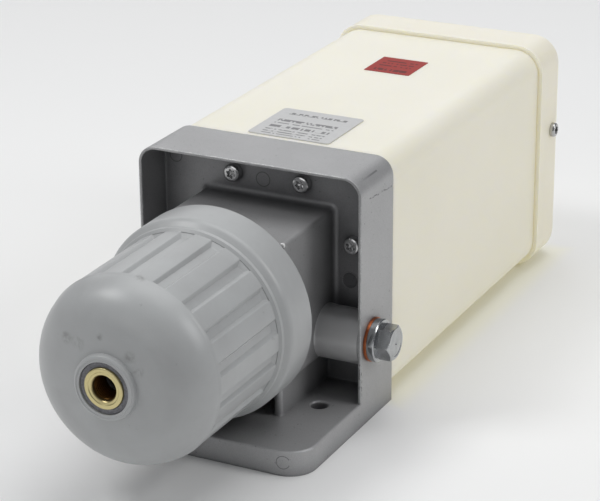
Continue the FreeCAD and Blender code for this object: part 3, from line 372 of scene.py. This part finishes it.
# One within reach of a circle on the plate or foot; the circle is given by X, Z and radius.
def ringMask(f, ring, reach):
    x, z, radius = ring
    off = f.calc("SUBTRACT", f.lineDistance((x, 0.0, z), (1.0, 0.0, 1.0)), radius)
    return f.calc("LESS_THAN", f.calc("ABSOLUTE", off), reach)


# Painted shade on the recess's walls, rising towards the plate and patchy like the casting's own clouds.
def recessShade(f, cloud, wide):
    s = castSettings
    _, top, start, end, weight = s["recess"]
    deep = f.combine("MULTIPLY", f.spread(f.y, 0.0, weight, start, end, "SMOOTHSTEP"), wide,
                     f.calc("LESS_THAN", f.z, top), f.calc("LESS_THAN", f.y, s["plate"] + mm))
    return f.mix(1.0, deep, f.ramp(cloud, (0.30, 1.0), (0.75, 0.72)), "MULTIPLY")


# Ejector marks on the plate and the foot, and nicks on the right wall's edge.
def castMarks(f):
    s = castSettings
    x, z, radius = s["disc"]
    onPlate = f.combine("MAXIMUM", *(ringMask(f, ring, s["ringLine"]) for ring in s["rings"]),
                        ringMask(f, (x, z, 0.0), radius))
    onPlate = f.calc("MULTIPLY", onPlate, f.calc("COMPARE", f.y, s["plate"], 0.6 * mm))
    onFoot = f.calc("MULTIPLY", ringMask(f, s["footRing"], s["footRingLine"]),
                    f.calc("LESS_THAN", f.y, s["footFront"]))
    inside, front, rear, lowest, highest = s["nicks"]
    nicks = f.combine("MULTIPLY", f.calc("GREATER_THAN", f.noise(s["nickScale"], 2.0, 0.5), 0.56),
                      f.calc("GREATER_THAN", f.x, inside), f.calc("LESS_THAN", f.y, rear),
                      f.calc("GREATER_THAN", f.z, lowest), f.calc("LESS_THAN", f.z, highest),
                      f.calc("GREATER_THAN", f.y, front))
    return f.calc("MULTIPLY", f.combine("MAXIMUM", onPlate, onFoot, nicks), s["markShare"])


# A wandering, broken line between two points on the right wall.
def scratchMask(f, wander):
    s = castSettings
    first, final = (Vector(p) for p in s["scratch"])
    along = (final - first).normalized()
    across = along.cross(Vector((1.0, 0.0, 0.0)))
    rise = f.calc("ADD", f.vector("DOT_PRODUCT", f.place, tuple(across)),
                  f.spread(wander, -s["scratchWander"], s["scratchWander"]))
    run = f.vector("DOT_PRODUCT", f.place, tuple(along))
    line = f.combine("MULTIPLY", f.calc("COMPARE", rise, first.dot(across), s["scratchLine"]),
                     f.calc("COMPARE", run, (first + final).dot(along) / 2, (final - first).length / 2),
                     f.calc("GREATER_THAN", f.x, s["scratchSide"]))
    broken = f.ramp(f.noise(s["scratchBreaks"], 3.0, 0.6), (0.44, 0.05), (0.54, 0.85))
    return f.mix(1.0, line, broken, "MULTIPLY")


# Arrises that stand free and meet sharply, where the bevelled normal leaves the face's own, painted bright as
# wear and as painted highlight.
def wornAndLitEdges(f, near, wander):
    sharp = f.add("Bevel", {"Radius": castSettings["edgeRadius"]}, samples=6).outputs["Normal"]
    meet = f.vector("DOT_PRODUCT", sharp, f.add("NewGeometry").outputs["True Normal"])
    brightArris = f.ramp(meet, (0.80, 1.0), (0.975, 0.0))
    brightArris = f.mix(1.0, brightArris, f.ramp(near, (0.80, 0.0), (0.95, 1.0)), "MULTIPLY")
    return f.mix(1.0, brightArris, f.ramp(wander, (0.40, 0.15), (0.60, 1.0)), "MULTIPLY")


# Blasted die casting: fine grain, cloudy tone, soot specks, painted shade in the corners and the recess,
# painted light on the boss, arrises painted bright as wear and highlight, a painted glint, ejector marks.
def castAluminium():
    s = castSettings
    f = newFinish("castAluminium")
    cloud = f.noise(s["blotch"], 6.0, 0.65)
    grain = f.noise(s["grain"], 3.0, 0.6)
    wander = f.noise(s["wander"], 4.0, 0.7)
    near = f.add("AmbientOcclusion", {"Distance": s["cornerReach"]}, samples=6).outputs["AO"]
    wide = f.calc("LESS_THAN", f.calc("ABSOLUTE", f.x), s["recess"][0])
    bossY, bossZ, bossRadius, bossLightWeight = s["boss"]
    bossAxis = f.lineDistance((0.0, bossY, bossZ), (0.0, 1.0, 1.0))
    # painted light: the boss's front is lightened
    bossHighlight = f.combine("MULTIPLY", f.calc("COMPARE", bossAxis, bossRadius, 0.5 * mm), wide, bossLightWeight)
    # painted glint on the block's front corner
    glint = f.calc("LESS_THAN", f.vector("DISTANCE", f.place, s["glint"][0]), s["glint"][1])
    tone = f.mix(1.0, f.ramp(cloud, (0.36, s["dark"]), (0.64, s["light"])),
                 f.ramp(grain, (0.36, 0.88), (0.64, 1.0)), "MULTIPLY")
    for mask, colour in (
            (f.ramp(f.noise(s["specks"], 2.0, 0.5), (0.70, 0.0), (0.75, 0.5)), s["sootAndShade"]),
            # painted shade in the corners, in the soot colour
            (f.ramp(near, (0.15, s["cornerShade"]), (0.82, 0.0)), s["sootAndShade"]),
            # painted shade in the recess
            (recessShade(f, cloud, wide), s["sootAndShade"]),
            # painted light on the boss
            (bossHighlight, s["bossLight"]),
            (castMarks(f), s["sootAndShade"]),
            (scratchMask(f, wander), s["sootAndShade"]),
            # arrises painted bright, as wear and as painted highlight
            (wornAndLitEdges(f, near, wander), s["edge"]),
            (glint, s["edge"])):
        tone = f.mix(mask, tone, colour)
    soft = f.add("Bevel", {"Radius": s["cornerRadius"]}, samples=6).outputs["Normal"]
    bump = f.add("Bump", {"Height": grain, "Strength": s["bump"], "Distance": s["bumpDepth"], "Normal": soft})
    f.shade(Base_Color=tone, Roughness=f.spread(cloud, *s["roughness"]), Metallic=s["metallic"],
            Normal=bump.outputs["Normal"])
    return f.material


# The casting with the draft of its rim: every point on the recess's rounded outline moves outwards along the
# outline's normal, by an amount that rises evenly from the plate to the rim.
def makeHousing():
    s = housingShape
    source = nodes["pump_housing"]
    mesh = source.data.copy()
    mesh.name = "housingShell"
    points = meshPoints(mesh) / mm
    x, y, z = points.T
    offX = np.sign(x) * np.maximum(np.abs(x) - (s["inner"] - s["corner"]), 0.0)
    offZ = np.maximum(z - (s["top"] - s["corner"]), 0.0)
    far = np.hypot(offX, offZ)
    onWall = (np.abs(far - s["corner"]) < s["onCorner"]) & (z > s["foot"] - s["footReach"])
    onWall &= (y > s["front"] - s["frontReach"]) & (y < s["plate"] + s["plateReach"])
    share = np.clip((s["plate"] - y) / (s["plate"] - s["front"]), 0.0, 1.0)
    thin = np.where(onWall, s["thinPlate"] + (s["thinFront"] - s["thinPlate"]) * share, 0.0)
    with np.errstate(invalid="ignore", divide="ignore"):
        points[:, 0] += np.where(onWall, offX / far * thin, 0.0)
        points[:, 2] += np.where(onWall, offZ / far * thin, 0.0)
    mesh.vertices.foreach_set("co", (points * mm).ravel())
    mesh.update()
    piece = placeObject("housingShell", mesh)
    piece.matrix_world = source.matrix_world.copy()
    dress(piece, castAluminium(), "root", "pump_housing")
    print("casting ready:", int(onWall.sum()), "rim points moved")


# Reservoir

tankSettings = {
    "roughness": 0.42, "blotch": 9.0, "wave": 26.0, "waveStrength": 0.12, "waveDepth": 0.001,
    "radius": (1.0, 0.9, 0.55), "scatter": 0.010, "weight": 0.75,
    # painted glow: the plastic emits light of this colour, standing in for light that comes through the hollow
    # box
    "through": (1.0, 0.86, 0.42), "throughStrength": 0.15,  # light that comes through the hollow box
    "finishes": [
        # node, material, dark and light tone
        ("reservoir_tank", "tankPlastic", (0.635, 0.64, 0.615), (0.660, 0.665, 0.650)),
        ("reservoir_lid", "lidPlastic", (0.64, 0.635, 0.60), (0.66, 0.66, 0.65)),
    ],
}


# Translucent natural plastic: light scatters inside it, it yellows where it is thick, and an emission gives it
# a painted glow.
def finishReservoir():
    s = tankSettings
    for node, name, dark, light in s["finishes"]:
        f = newFinish(name)
        tone = f.ramp(f.noise(s["blotch"], 4.0, 0.5, 0.2), (0.35, dark), (0.65, light))
        bump = f.add("Bump", {"Height": f.noise(s["wave"], 3.0, 0.5), "Strength": s["waveStrength"],
                              "Distance": s["waveDepth"]})
        # the emission paints a glow on the plastic
        f.shade(Base_Color=tone, Normal=bump.outputs["Normal"], Roughness=s["roughness"],
                Subsurface_Weight=s["weight"], Subsurface_Radius=s["radius"], Subsurface_Scale=s["scatter"],
                Emission_Color=s["through"], Emission_Strength=s["throughStrength"])
        setMaterial(nodes[node], f.material)


# Fluted cap of the air cylinder

capSettings = {
    "light": (0.425, 0.436, 0.438), "dark": (0.390, 0.396, 0.398), "dirtAndShade": (0.17, 0.165, 0.16),
    "roughness": (0.32, 0.40), "blotch": 26.0, "dirtScale": 150.0,
    # painted shade in creases: how far the occlusion reaches, and how dark it paints
    "cornerReach": 0.006, "cornerShade": 0.22,
    "fine": 900.0, "fineStrength": 0.05, "fineDepth": 0.0002,
    # mm: where the smudges on the nose lie, and how far each one reaches
    "smudges": [(-22.1, -132.6, 91.7, 4.0), (-15.5, -133.5, 90.8, 5.0), (-3.0, -133.5, 96.3, 2.6),
                (13.3, -134.0, 88.9, 4.4), (17.5, -134.1, 82.6, 4.0), (7.1, -112.2, 120.2, 4.0),
                (36.0, -118.0, 52.0, 7.0), (15.5, -133.6, 52.7, 1.6)],
}

# Millimetres, and degrees for the flutes' widths. Corners are (along, radius, round).
capShape = {
    "flutes": 18, "pitch": 20.0, "halfFloor": 2.43, "floorRadius": 47.72,
    "slope": 0.895,  # mm that a flute's wall rises per degree
    "front": -111.5, "rear": -53.3, "frontRun": 2.2, "rearRun": 2.8, "soft": 0.16,
    "bodyLeast": 46.0,  # only the outside lies further out than this
    "columns": [0.0, 1.2, 2.1, 2.43, 2.75, 3.3, 3.9, 4.3, 4.5, 4.75, 5.1, 5.8, 6.8, 8.0, 9.2],
    "rearRim": [(-30.0, 48.9, 0), (-25.75, 48.9, 0.3), (-25.75, 54.75, 0.7), (-36.0, 54.72, 0)],
    "collar": [(-36.0, 54.72, 0), (-47.3, 54.62, 5.2), (-50.55, 51.62, 0.30), (-52.1, 51.25, 0.5),
               (-53.3, 49.84, 0.4), (-53.6, 49.80, 0)],
    "landRows": [(-53.8, -56.6, 9), (-60.0, -108.6, 9), (-109.2, -111.2, 8)],
    "land": (-53.1, 49.80, 0.0065),  # where it starts, its radius there and its taper
    "lip": [(-111.42, 49.40), (-111.5, 49.42), (-111.56, 49.60), (-111.75, 49.63)],
    "noseCentre": (-109.5, 25.8), "noseRadius": 23.6, "noseFrom": -111.75, "noseTo": 30.3, "noseSteps": 30,
    "crown": 158.0, "crownCentre": 22.5, "crownRun": (29.0, 17.8, 8),
    "hub": [(-134.55, 17.0, 0.35), (-137.0, 16.7, 0.9), (-137.75, 15.4, 0.6), (-137.35, 14.9, 0.3),
            (-137.45, 13.55, 0.25), (-134.8, 13.5, 0.2), (-134.8, 10.68, 0), (-125.0, 10.68, 0)],
    "inside": [(-125.0, 10.68, 0), (-125.0, 43.0, 17.0), (-43.5, 43.0, 0.3), (-43.5, 48.9, 0),
               (-30.0, 48.9, 0)],
}


# Moulded grey plastic with a soft sheen, faint mottling, rubbed-in dirt, and painted shade darkening its
# creases and corners towards the dirt colour.
def capPlastic():
    s = capSettings
    f = newFinish("capPlastic")
    cloud = f.noise(s["blotch"], 6.0, 0.62, 0.3)
    spots = f.noise(s["dirtScale"], 8.0, 0.7, 0.5)
    tone = f.ramp(cloud, (0.36, s["dark"]), (0.64, s["light"]))
    tone = f.mix(f.ramp(spots, (0.655, 0.0), (0.80, 0.75)), tone, s["dirtAndShade"])
    smear = f.ramp(spots, (0.44, 0.0), (0.66, 0.8))
    for x, y, z, reach in s["smudges"]:
        far = f.vector("DISTANCE", f.place, (x * mm, y * mm, z * mm))
        share = f.spread(far, 1.0, 0.0, 0.2 * reach * mm, reach * mm, "SMOOTHSTEP")
        tone = f.mix(f.mix(1.0, smear, share, "MULTIPLY"), tone, s["dirtAndShade"])
    # painted shade: creases and corners darken towards the dirt colour
    near = f.add("AmbientOcclusion", {"Distance": s["cornerReach"]}, samples=4).outputs["AO"]
    tone = f.mix(f.ramp(near, (0.30, s["cornerShade"]), (0.80, 0.0)), tone, s["dirtAndShade"])
    bump = f.add("Bump", {"Height": f.noise(s["fine"], 2.0, 0.5), "Strength": s["fineStrength"],
                          "Distance": s["fineDepth"]})
    f.shade(Base_Color=tone, Roughness=f.spread(cloud, *s["roughness"]), Normal=bump.outputs["Normal"])
    return f.material


# Outline of the cap from its rear rim over the outside to the hub, and back inside. The nose is an arc
# about noseCentre and the crown is an arc about a point on the axis.
def capPath():
    s = capShape
    collar = roundedPath(s["collar"], steps=8)
    stops = np.concatenate([np.linspace(*row) for row in s["landRows"]])
    start, radius, taper = s["land"]
    land = np.stack([stops, radius + (stops - start) * taper], axis=-1)
    centre, out = s["noseCentre"]
    turn = np.linspace(math.asin((centre - s["noseFrom"]) / s["noseRadius"]),
                       math.acos((s["noseTo"] - out) / s["noseRadius"]), s["noseSteps"])[1:]
    nose = np.stack([centre - s["noseRadius"] * np.sin(turn), out + s["noseRadius"] * np.cos(turn)], axis=-1)
    out = np.linspace(*s["crownRun"])
    crown = np.stack([s["crownCentre"] - np.sqrt(s["crown"] ** 2 - out ** 2), out], axis=-1)
    hub = roundedPath([(crown[-1][0], crown[-1][1], 0), *s["hub"]])
    inside = roundedPath(s["inside"], steps=14)
    return np.vstack([roundedPath(s["rearRim"]), collar[1:], land, s["lip"], nose, crown[:-1], hub,
                      inside[1:-1]])


# Radius cut down to the flute: the smaller of the cap's own radius and the flute's floor and walls. The floor
# is flat, each side wall rises in step with the angle from the flute's middle, the rear end rises evenly along
# the axis and the front end as a square.
def fluted(along, radius, angles):
    s = capShape
    pitch = math.radians(s["pitch"])
    off = np.degrees(np.abs((angles + pitch / 2) % pitch - pitch / 2))
    wall = s["floorRadius"] / np.cos(np.radians(off)) + s["slope"] * np.maximum(off - s["halfFloor"], 0.0)
    depth = s["noseCentre"][1] + s["noseRadius"] - s["floorRadius"]
    rear = s["floorRadius"] + depth * np.clip(1.0 - (s["rear"] - along) / s["rearRun"], 0.0, 1.0)
    front = s["floorRadius"] + depth * np.clip(1.0 - (along - s["front"]) / s["frontRun"], 0.0, 1.0) ** 2
    wall = np.maximum(wall, np.maximum(rear, front))
    inside = (along < s["rear"]) & (along > s["front"] - 0.01) & (radius > s["bodyLeast"])
    soft = s["soft"]
    cut = 0.5 * (radius + wall - np.sqrt((radius - wall) ** 2 + soft ** 2)) + soft * 0.12
    return np.where(inside, np.minimum(cut, radius), radius)


# The cap as one closed turned surface, with more columns where a flute's walls rise.
def makeCap():
    s = capShape
    half = s["columns"]
    local = np.radians(np.array([-x for x in half[:0:-1]] + half))
    middles = np.radians(np.arange(s["flutes"]) * s["pitch"])
    columns = (middles[:, None] + local[None, :]).ravel()
    cap = lathe("capShell", capPath(), (0, 0, axisHeight), columns=columns, shape=fluted)
    dress(cap, capPlastic(), "root", "cylinder_cap")
    print("cap ready")


# Screw plug and washer

# Millimetres, along from the boss's end face. Corners are (along, radius, round).
plugShape = {
    "centre": (65.0, 24.0, 45.5), "across": 17.0, "turn": 30.0, "hexFrom": 5.9, "hexLeast": 8.0,
    "collar": [(-10.9, 3.0, 0), (-10.9, 7.6, 0.2), (-9.9, 8.15, 0.2), (1.5, 8.15, 0), (1.5, 11.5, 0.3),
               (5.2, 11.7, 0.2), (5.75, 11.15, 0.15), (5.75, 9.7, 0.2)],
    "sides": [(5.95, 9.75), (6.0, 9.815), (7.0, 9.815), (9.0, 9.815), (11.0, 9.815), (12.6, 9.815),
              (12.75, 9.70), (12.95, 9.35), (13.15, 9.0), (13.35, 8.65), (13.5, 8.35)],
    "end": [(13.5, 8.3, 0), (13.55, 7.2, 0.2), (13.35, 6.9, 0.1), (13.45, 6.3, 0.1), (13.6, 4.4, 0.2),
            (13.62, 1.0, 0.2), (13.2, 0.3, 0)],
    "columns": 240, "crease": math.radians(24), "colour": (0.44, 0.45, 0.46),
    "washer": [(0.75, 8.3, 0), (0.02, 8.3, 0.1), (0.02, 11.9, 0.35), (0.64, 11.9, 0.2), (0.75, 11.5, 0.05),
               (0.86, 11.9, 0.2), (1.48, 11.9, 0.35), (1.48, 8.3, 0.1), (0.75, 8.3, 0)],
    "washerColumns": 120, "washerColour": (0.42, 0.13, 0.055),
}


# Hexagon plug: a turned outline whose head is cut back to six flats. A flat's radius is half the width across
# flats divided by the cosine of the angle from the flat's middle.
def makeScrewPlug():
    s = plugShape

    def hexagonHead(along, radius, angles):
        sixth = math.pi / 3
        off = (angles + math.radians(s["turn"])) % sixth - sixth / 2
        onHead = (along > s["hexFrom"]) & (radius > s["hexLeast"])
        return np.where(onHead, np.minimum(radius, s["across"] / 2 / np.cos(off)), radius)

    path = np.vstack([roundedPath(s["collar"], steps=4), s["sides"], roundedPath(s["end"], steps=4)])
    plug = lathe("hexPlug", path, s["centre"], axis="X", columns=s["columns"], closed=False, shape=hexagonHead)
    plug.data.set_sharp_from_angle(angle=s["crease"])
    zinc = plainMaterial("zincSteel", s["colour"], 0.20, metallic=1.0, grain=260.0, variation=0.10, bump=0.05)
    dress(plug, zinc, "root", "screw_plug")
    washer = lathe("copperWasher", roundedPath(s["washer"], steps=4)[:-1], s["centre"], axis="X",
                   columns=s["washerColumns"])
    copper = plainMaterial("copper", s["washerColour"], 0.30, metallic=1.0, grain=300.0, variation=0.2)
    dress(washer, copper, "root", "plug_washer")


# Air port insert and the ring round it

# Millimetres. Corners are (along, radius, round).
insertShape = {
    "outside": [(-125.05, 5.95, 0), (-125.05, 10.6, 0.3), (-131.0, 10.6, 0), (-137.45, 10.6, 0.35),
                (-137.62, 10.0, 0.2), (-137.62, 8.6, 0.15), (-137.25, 8.2, 0.1), (-137.1, 7.1, 0.15),
                (-136.6, 6.64, 0.1), (-135.6, 6.5, 0)],
    "threadRun": (-135.2, -126.0), "pitch": 1.3375, "pitchSteps": 6, "threadRadius": 5.95, "threadDepth": 0.42,
    "columns": 128,
    # brass, with painted shade darkening it to a dark brown inside the bore, between these two radii in metres
    "brass": (0.62, 0.54, 0.28), "boreShade": (0.10, 0.045, 0.008), "boreShadeRun": (0.0063, 0.0072),
    "metallic": 0.85, "roughness": (0.24, 0.42), "grain": 400.0,
    "ring": [(-134.9, 10.7, 0), (-136.5, 10.7, 0.3), (-136.2, 12.0, 0.5), (-136.5, 13.4, 0.3),
             (-134.9, 13.4, 0.1), (-134.9, 10.7, 0)],
    "ringColour": (0.15, 0.15, 0.165),
}


def paleBrass():
    s = insertShape
    f = newFinish("paleBrass")
    far = f.lineDistance((0.0, 0.0, axisHeight * mm), (1.0, 0.0, 1.0))
    # painted shade: the brass darkens towards the bore
    tone = f.ramp(f.spread(far, 0.0, 1.0, *s["boreShadeRun"]), (0.0, s["boreShade"]), (1.0, s["brass"]))
    f.shade(Base_Color=tone, Roughness=f.spread(f.noise(s["grain"], 3.0, 0.6), *s["roughness"]),
            Metallic=s["metallic"])
    return f.material


# Brass insert with its stepped mouth, and a thread whose radius rises and falls as a cosine along the bore.
def makeInsert():
    s = insertShape
    start, end = s["threadRun"]
    depth = np.arange(start, end, s["pitch"] / s["pitchSteps"])
    wave = 0.5 + 0.5 * np.cos(math.tau * (depth - start) / s["pitch"])
    thread = np.stack([depth, s["threadRadius"] + s["threadDepth"] * wave], axis=-1)
    path = np.vstack([roundedPath(s["outside"], steps=5), thread])
    insert = lathe("brassInsert", path, (0, 0, axisHeight), columns=s["columns"])
    dress(insert, paleBrass(), "root", "air_port_insert")
    ring = lathe("darkRing", roundedPath(s["ring"], steps=4)[:-1], (0, 0, axisHeight))
    rubber = plainMaterial("darkRingRubber", s["ringColour"], 0.36, grain=900.0, variation=0.3, bump=0.2)
    dress(ring, rubber, "root", "port_seal")


# Screws

# Millimetres, along from the seat.
screwShape = {
    "flange": [(-20.4, 122.3), (20.4, 122.3), (-49.7, 92.9), (49.7, 92.9), (-16.0, 23.0), (16.0, 23.0)],
    "seat": 33.5, "turns": [10, 40, 25, 5, 30, 50],
    "flangeSize": {"head": 4.95, "height": 4.6, "shank": 2.4, "length": 12.0},
    "lid": (67.75, 274.4, 85.1), "lidTurn": 12,
    "lidSize": {"head": 4.3, "height": 3.1, "shank": 1.9, "length": 7.5},
    # crown of the head: shares of its height and radius, and the round there
    "crown": [(0.62, 1.0, 0.5), (0.93, 0.90, 0.6), (1.0, 0.70, 0.5)],
    "mouth": 3.0,
    "drive": [(-0.02, 2.8), (-0.15, 2.72), (-1.0, 2.66), (-2.3, 2.6), (-2.6, 1.0), (-2.7, 0.2)],
    "lobes": 6, "recess": 2.75, "recessReach": 0.06, "lobeDepth": 0.85, "lobePower": 0.8,
    "columns": 84, "colour": (0.50, 0.50, 0.50),
}


# One pan-head screw: washer face, domed head, shank, and a recess whose radius has a six-fold wave.
def makeScrew(name, size, turn, seat, axis, outward):
    s = screwShape
    head, height, shank, length = size["head"], size["height"], size["shank"], size["length"]

    def lobed(along, radius, angles):
        wave = np.cos(s["lobes"] * angles + math.radians(turn * s["lobes"]))
        star = s["recess"] - s["lobeDepth"] * (0.5 - 0.5 * wave) ** s["lobePower"]
        onRecess = (radius < s["recess"] + s["recessReach"]) & (along * outward > 0.0)
        return np.where(onRecess, radius * (star / s["recess"]), radius)

    crown = [(height * up, head * out, turned) for up, out, turned in s["crown"]]
    profile = np.vstack([
        roundedPath([(-length, 0.4, 0), (-length, shank, 0.3), (0.0, shank, 0), (0.0, head, 0.15), *crown,
                     (height, s["mouth"], 0)], steps=6),
        np.array([(height + down, out) for down, out in s["drive"]]),
    ])
    return lathe(name, profile * np.array([outward, 1.0]), seat, axis=axis, columns=s["columns"],
                 closed=False, shape=lobed)


def makeScrews():
    s = screwShape
    bright = plainMaterial("brightScrew", s["colour"], 0.17, metallic=1.0, grain=500.0, variation=0.10,
                           bump=0.04)
    flange = [makeScrew(f"flangeScrew{k}", s["flangeSize"], turn, (x, s["seat"], z), "Y", -1)
              for k, ((x, z), turn) in enumerate(zip(s["flange"], s["turns"]))]
    dress(joinPieces("flangeScrewSet", flange), bright, "root", "flange_screws")
    x, y, z = s["lid"]
    lid = [makeScrew(f"lidScrew{side}", s["lidSize"], s["lidTurn"], (side * x, y, z), "X", side)
           for side in (-1, 1)]
    dress(joinPieces("lidScrewSet", lid), bright, "root", "lid_screws")


# Silver plate and red label, with plain ruled bars

plateSettings = {
    "cells": (900.0, 260.0, 0.0),  # bars per metre along X and Y
    "gaps": 0.30,  # share of the cells that is left bare
    "finishes": [
        {"node": "nameplate", "name": "silverPlate", "colour": (0.60, 0.60, 0.60), "ink": (0.11, 0.11, 0.115),
         "strength": 0.8, "roughness": 0.36, "metallic": 0.55, "span": (-0.0165, 0.0190),
         # metres: each row's place along Y and its height
         "rows": [(0.0890, 0.0030), (0.0770, 0.0034), (0.0722, 0.0012), (0.0668, 0.0034), (0.0615, 0.0013),
                  (0.0580, 0.0013), (0.0549, 0.0010)]},
        {"node": "top_label", "name": "redLabel", "colour": (0.33, 0.025, 0.018), "ink": (0.08, 0.008, 0.007),
         "strength": 0.85, "roughness": 0.62, "metallic": 0.0, "span": (-0.0100, 0.0105),
         "rows": [(0.2020, 0.0018), (0.1975, 0.0018), (0.1930, 0.0018), (0.1855, 0.0040)]},
    ],
}


# A flat finish with rows of plain bars: each bar is a cell of a chequer picked by a random value.
def finishPlates():
    s = plateSettings
    for plate in s["finishes"]:
        f = newFinish(plate["name"])
        cloud = f.noise(500.0, 4.0, 0.6)
        low = tuple(c * 0.93 for c in plate["colour"])
        tone = f.ramp(cloud, (0.35, low), (0.65, plate["colour"]))
        cells = f.vector("FLOOR", f.vector("MULTIPLY", f.place, s["cells"]))
        pick = f.add("TexWhiteNoise", {"Vector": cells}).outputs["Value"]
        left, right = plate["span"]
        rows = [f.calc("COMPARE", f.y, spot, height / 2) for spot, height in plate["rows"]]
        bars = f.combine("MULTIPLY", f.combine("MAXIMUM", *rows), f.calc("GREATER_THAN", pick, s["gaps"]),
                         f.calc("COMPARE", f.x, (left + right) / 2, (right - left) / 2), plate["strength"])
        rough = plate["roughness"]
        f.shade(Base_Color=f.mix(bars, tone, plate["ink"]), Metallic=plate["metallic"],
                Roughness=f.spread(cloud, rough * 0.85, rough * 1.15))
        setMaterial(nodes[plate["node"]], f.material)


# Plain true finishes for the pieces inside

hiddenFinishes = [
    # material, colour, roughness, metallic, nodes
    ("groundSteel", (0.55, 0.55, 0.56), 0.25, 1.0,
     ["pump_cylinder", "plunger", "valve_ball", "valve_plug", "piston_nut", "spring_seat", "passage_plug"]),
    ("springWire", (0.30, 0.30, 0.31), 0.35, 1.0, ["return_spring", "valve_spring"]),
    ("blackRubber", (0.02, 0.02, 0.02), 0.6, 0.0,
     ["tank_gasket", "cap_seal", "liner_seal", "plunger_seal", "piston_seal"]),
    ("turnedBrass", (0.70, 0.52, 0.22), 0.3, 1.0, ["tank_inserts", "valve_seat", "plunger_guide"]),
    ("whitePlastic", (0.80, 0.80, 0.77), 0.45, 0.0, ["piston_guide_ring", "suction_strainer"]),
    ("turnedAlloy", (0.60, 0.61, 0.62), 0.32, 1.0, ["air_piston"]),
    ("innerCopper", (0.62, 0.24, 0.12), 0.3, 1.0, ["valve_plug_washer"]),
]


def finishHidden():
    for name, colour, roughness, metallic, inner in hiddenFinishes:
        material = plainMaterial(name, colour, roughness, metallic)
        for node in inner:
            setMaterial(nodes[node], material)


makeCamera()
makeLight()
makeFloor()
print("camera, light and floor ready")
makeHousing()
finishReservoir()
makeCap()
makeScrewPlug()
makeInsert()
makeScrews()
finishPlates()
finishHidden()
print("small parts ready")

scene = bpy.context.scene
scene.view_settings.view_transform = "Standard"
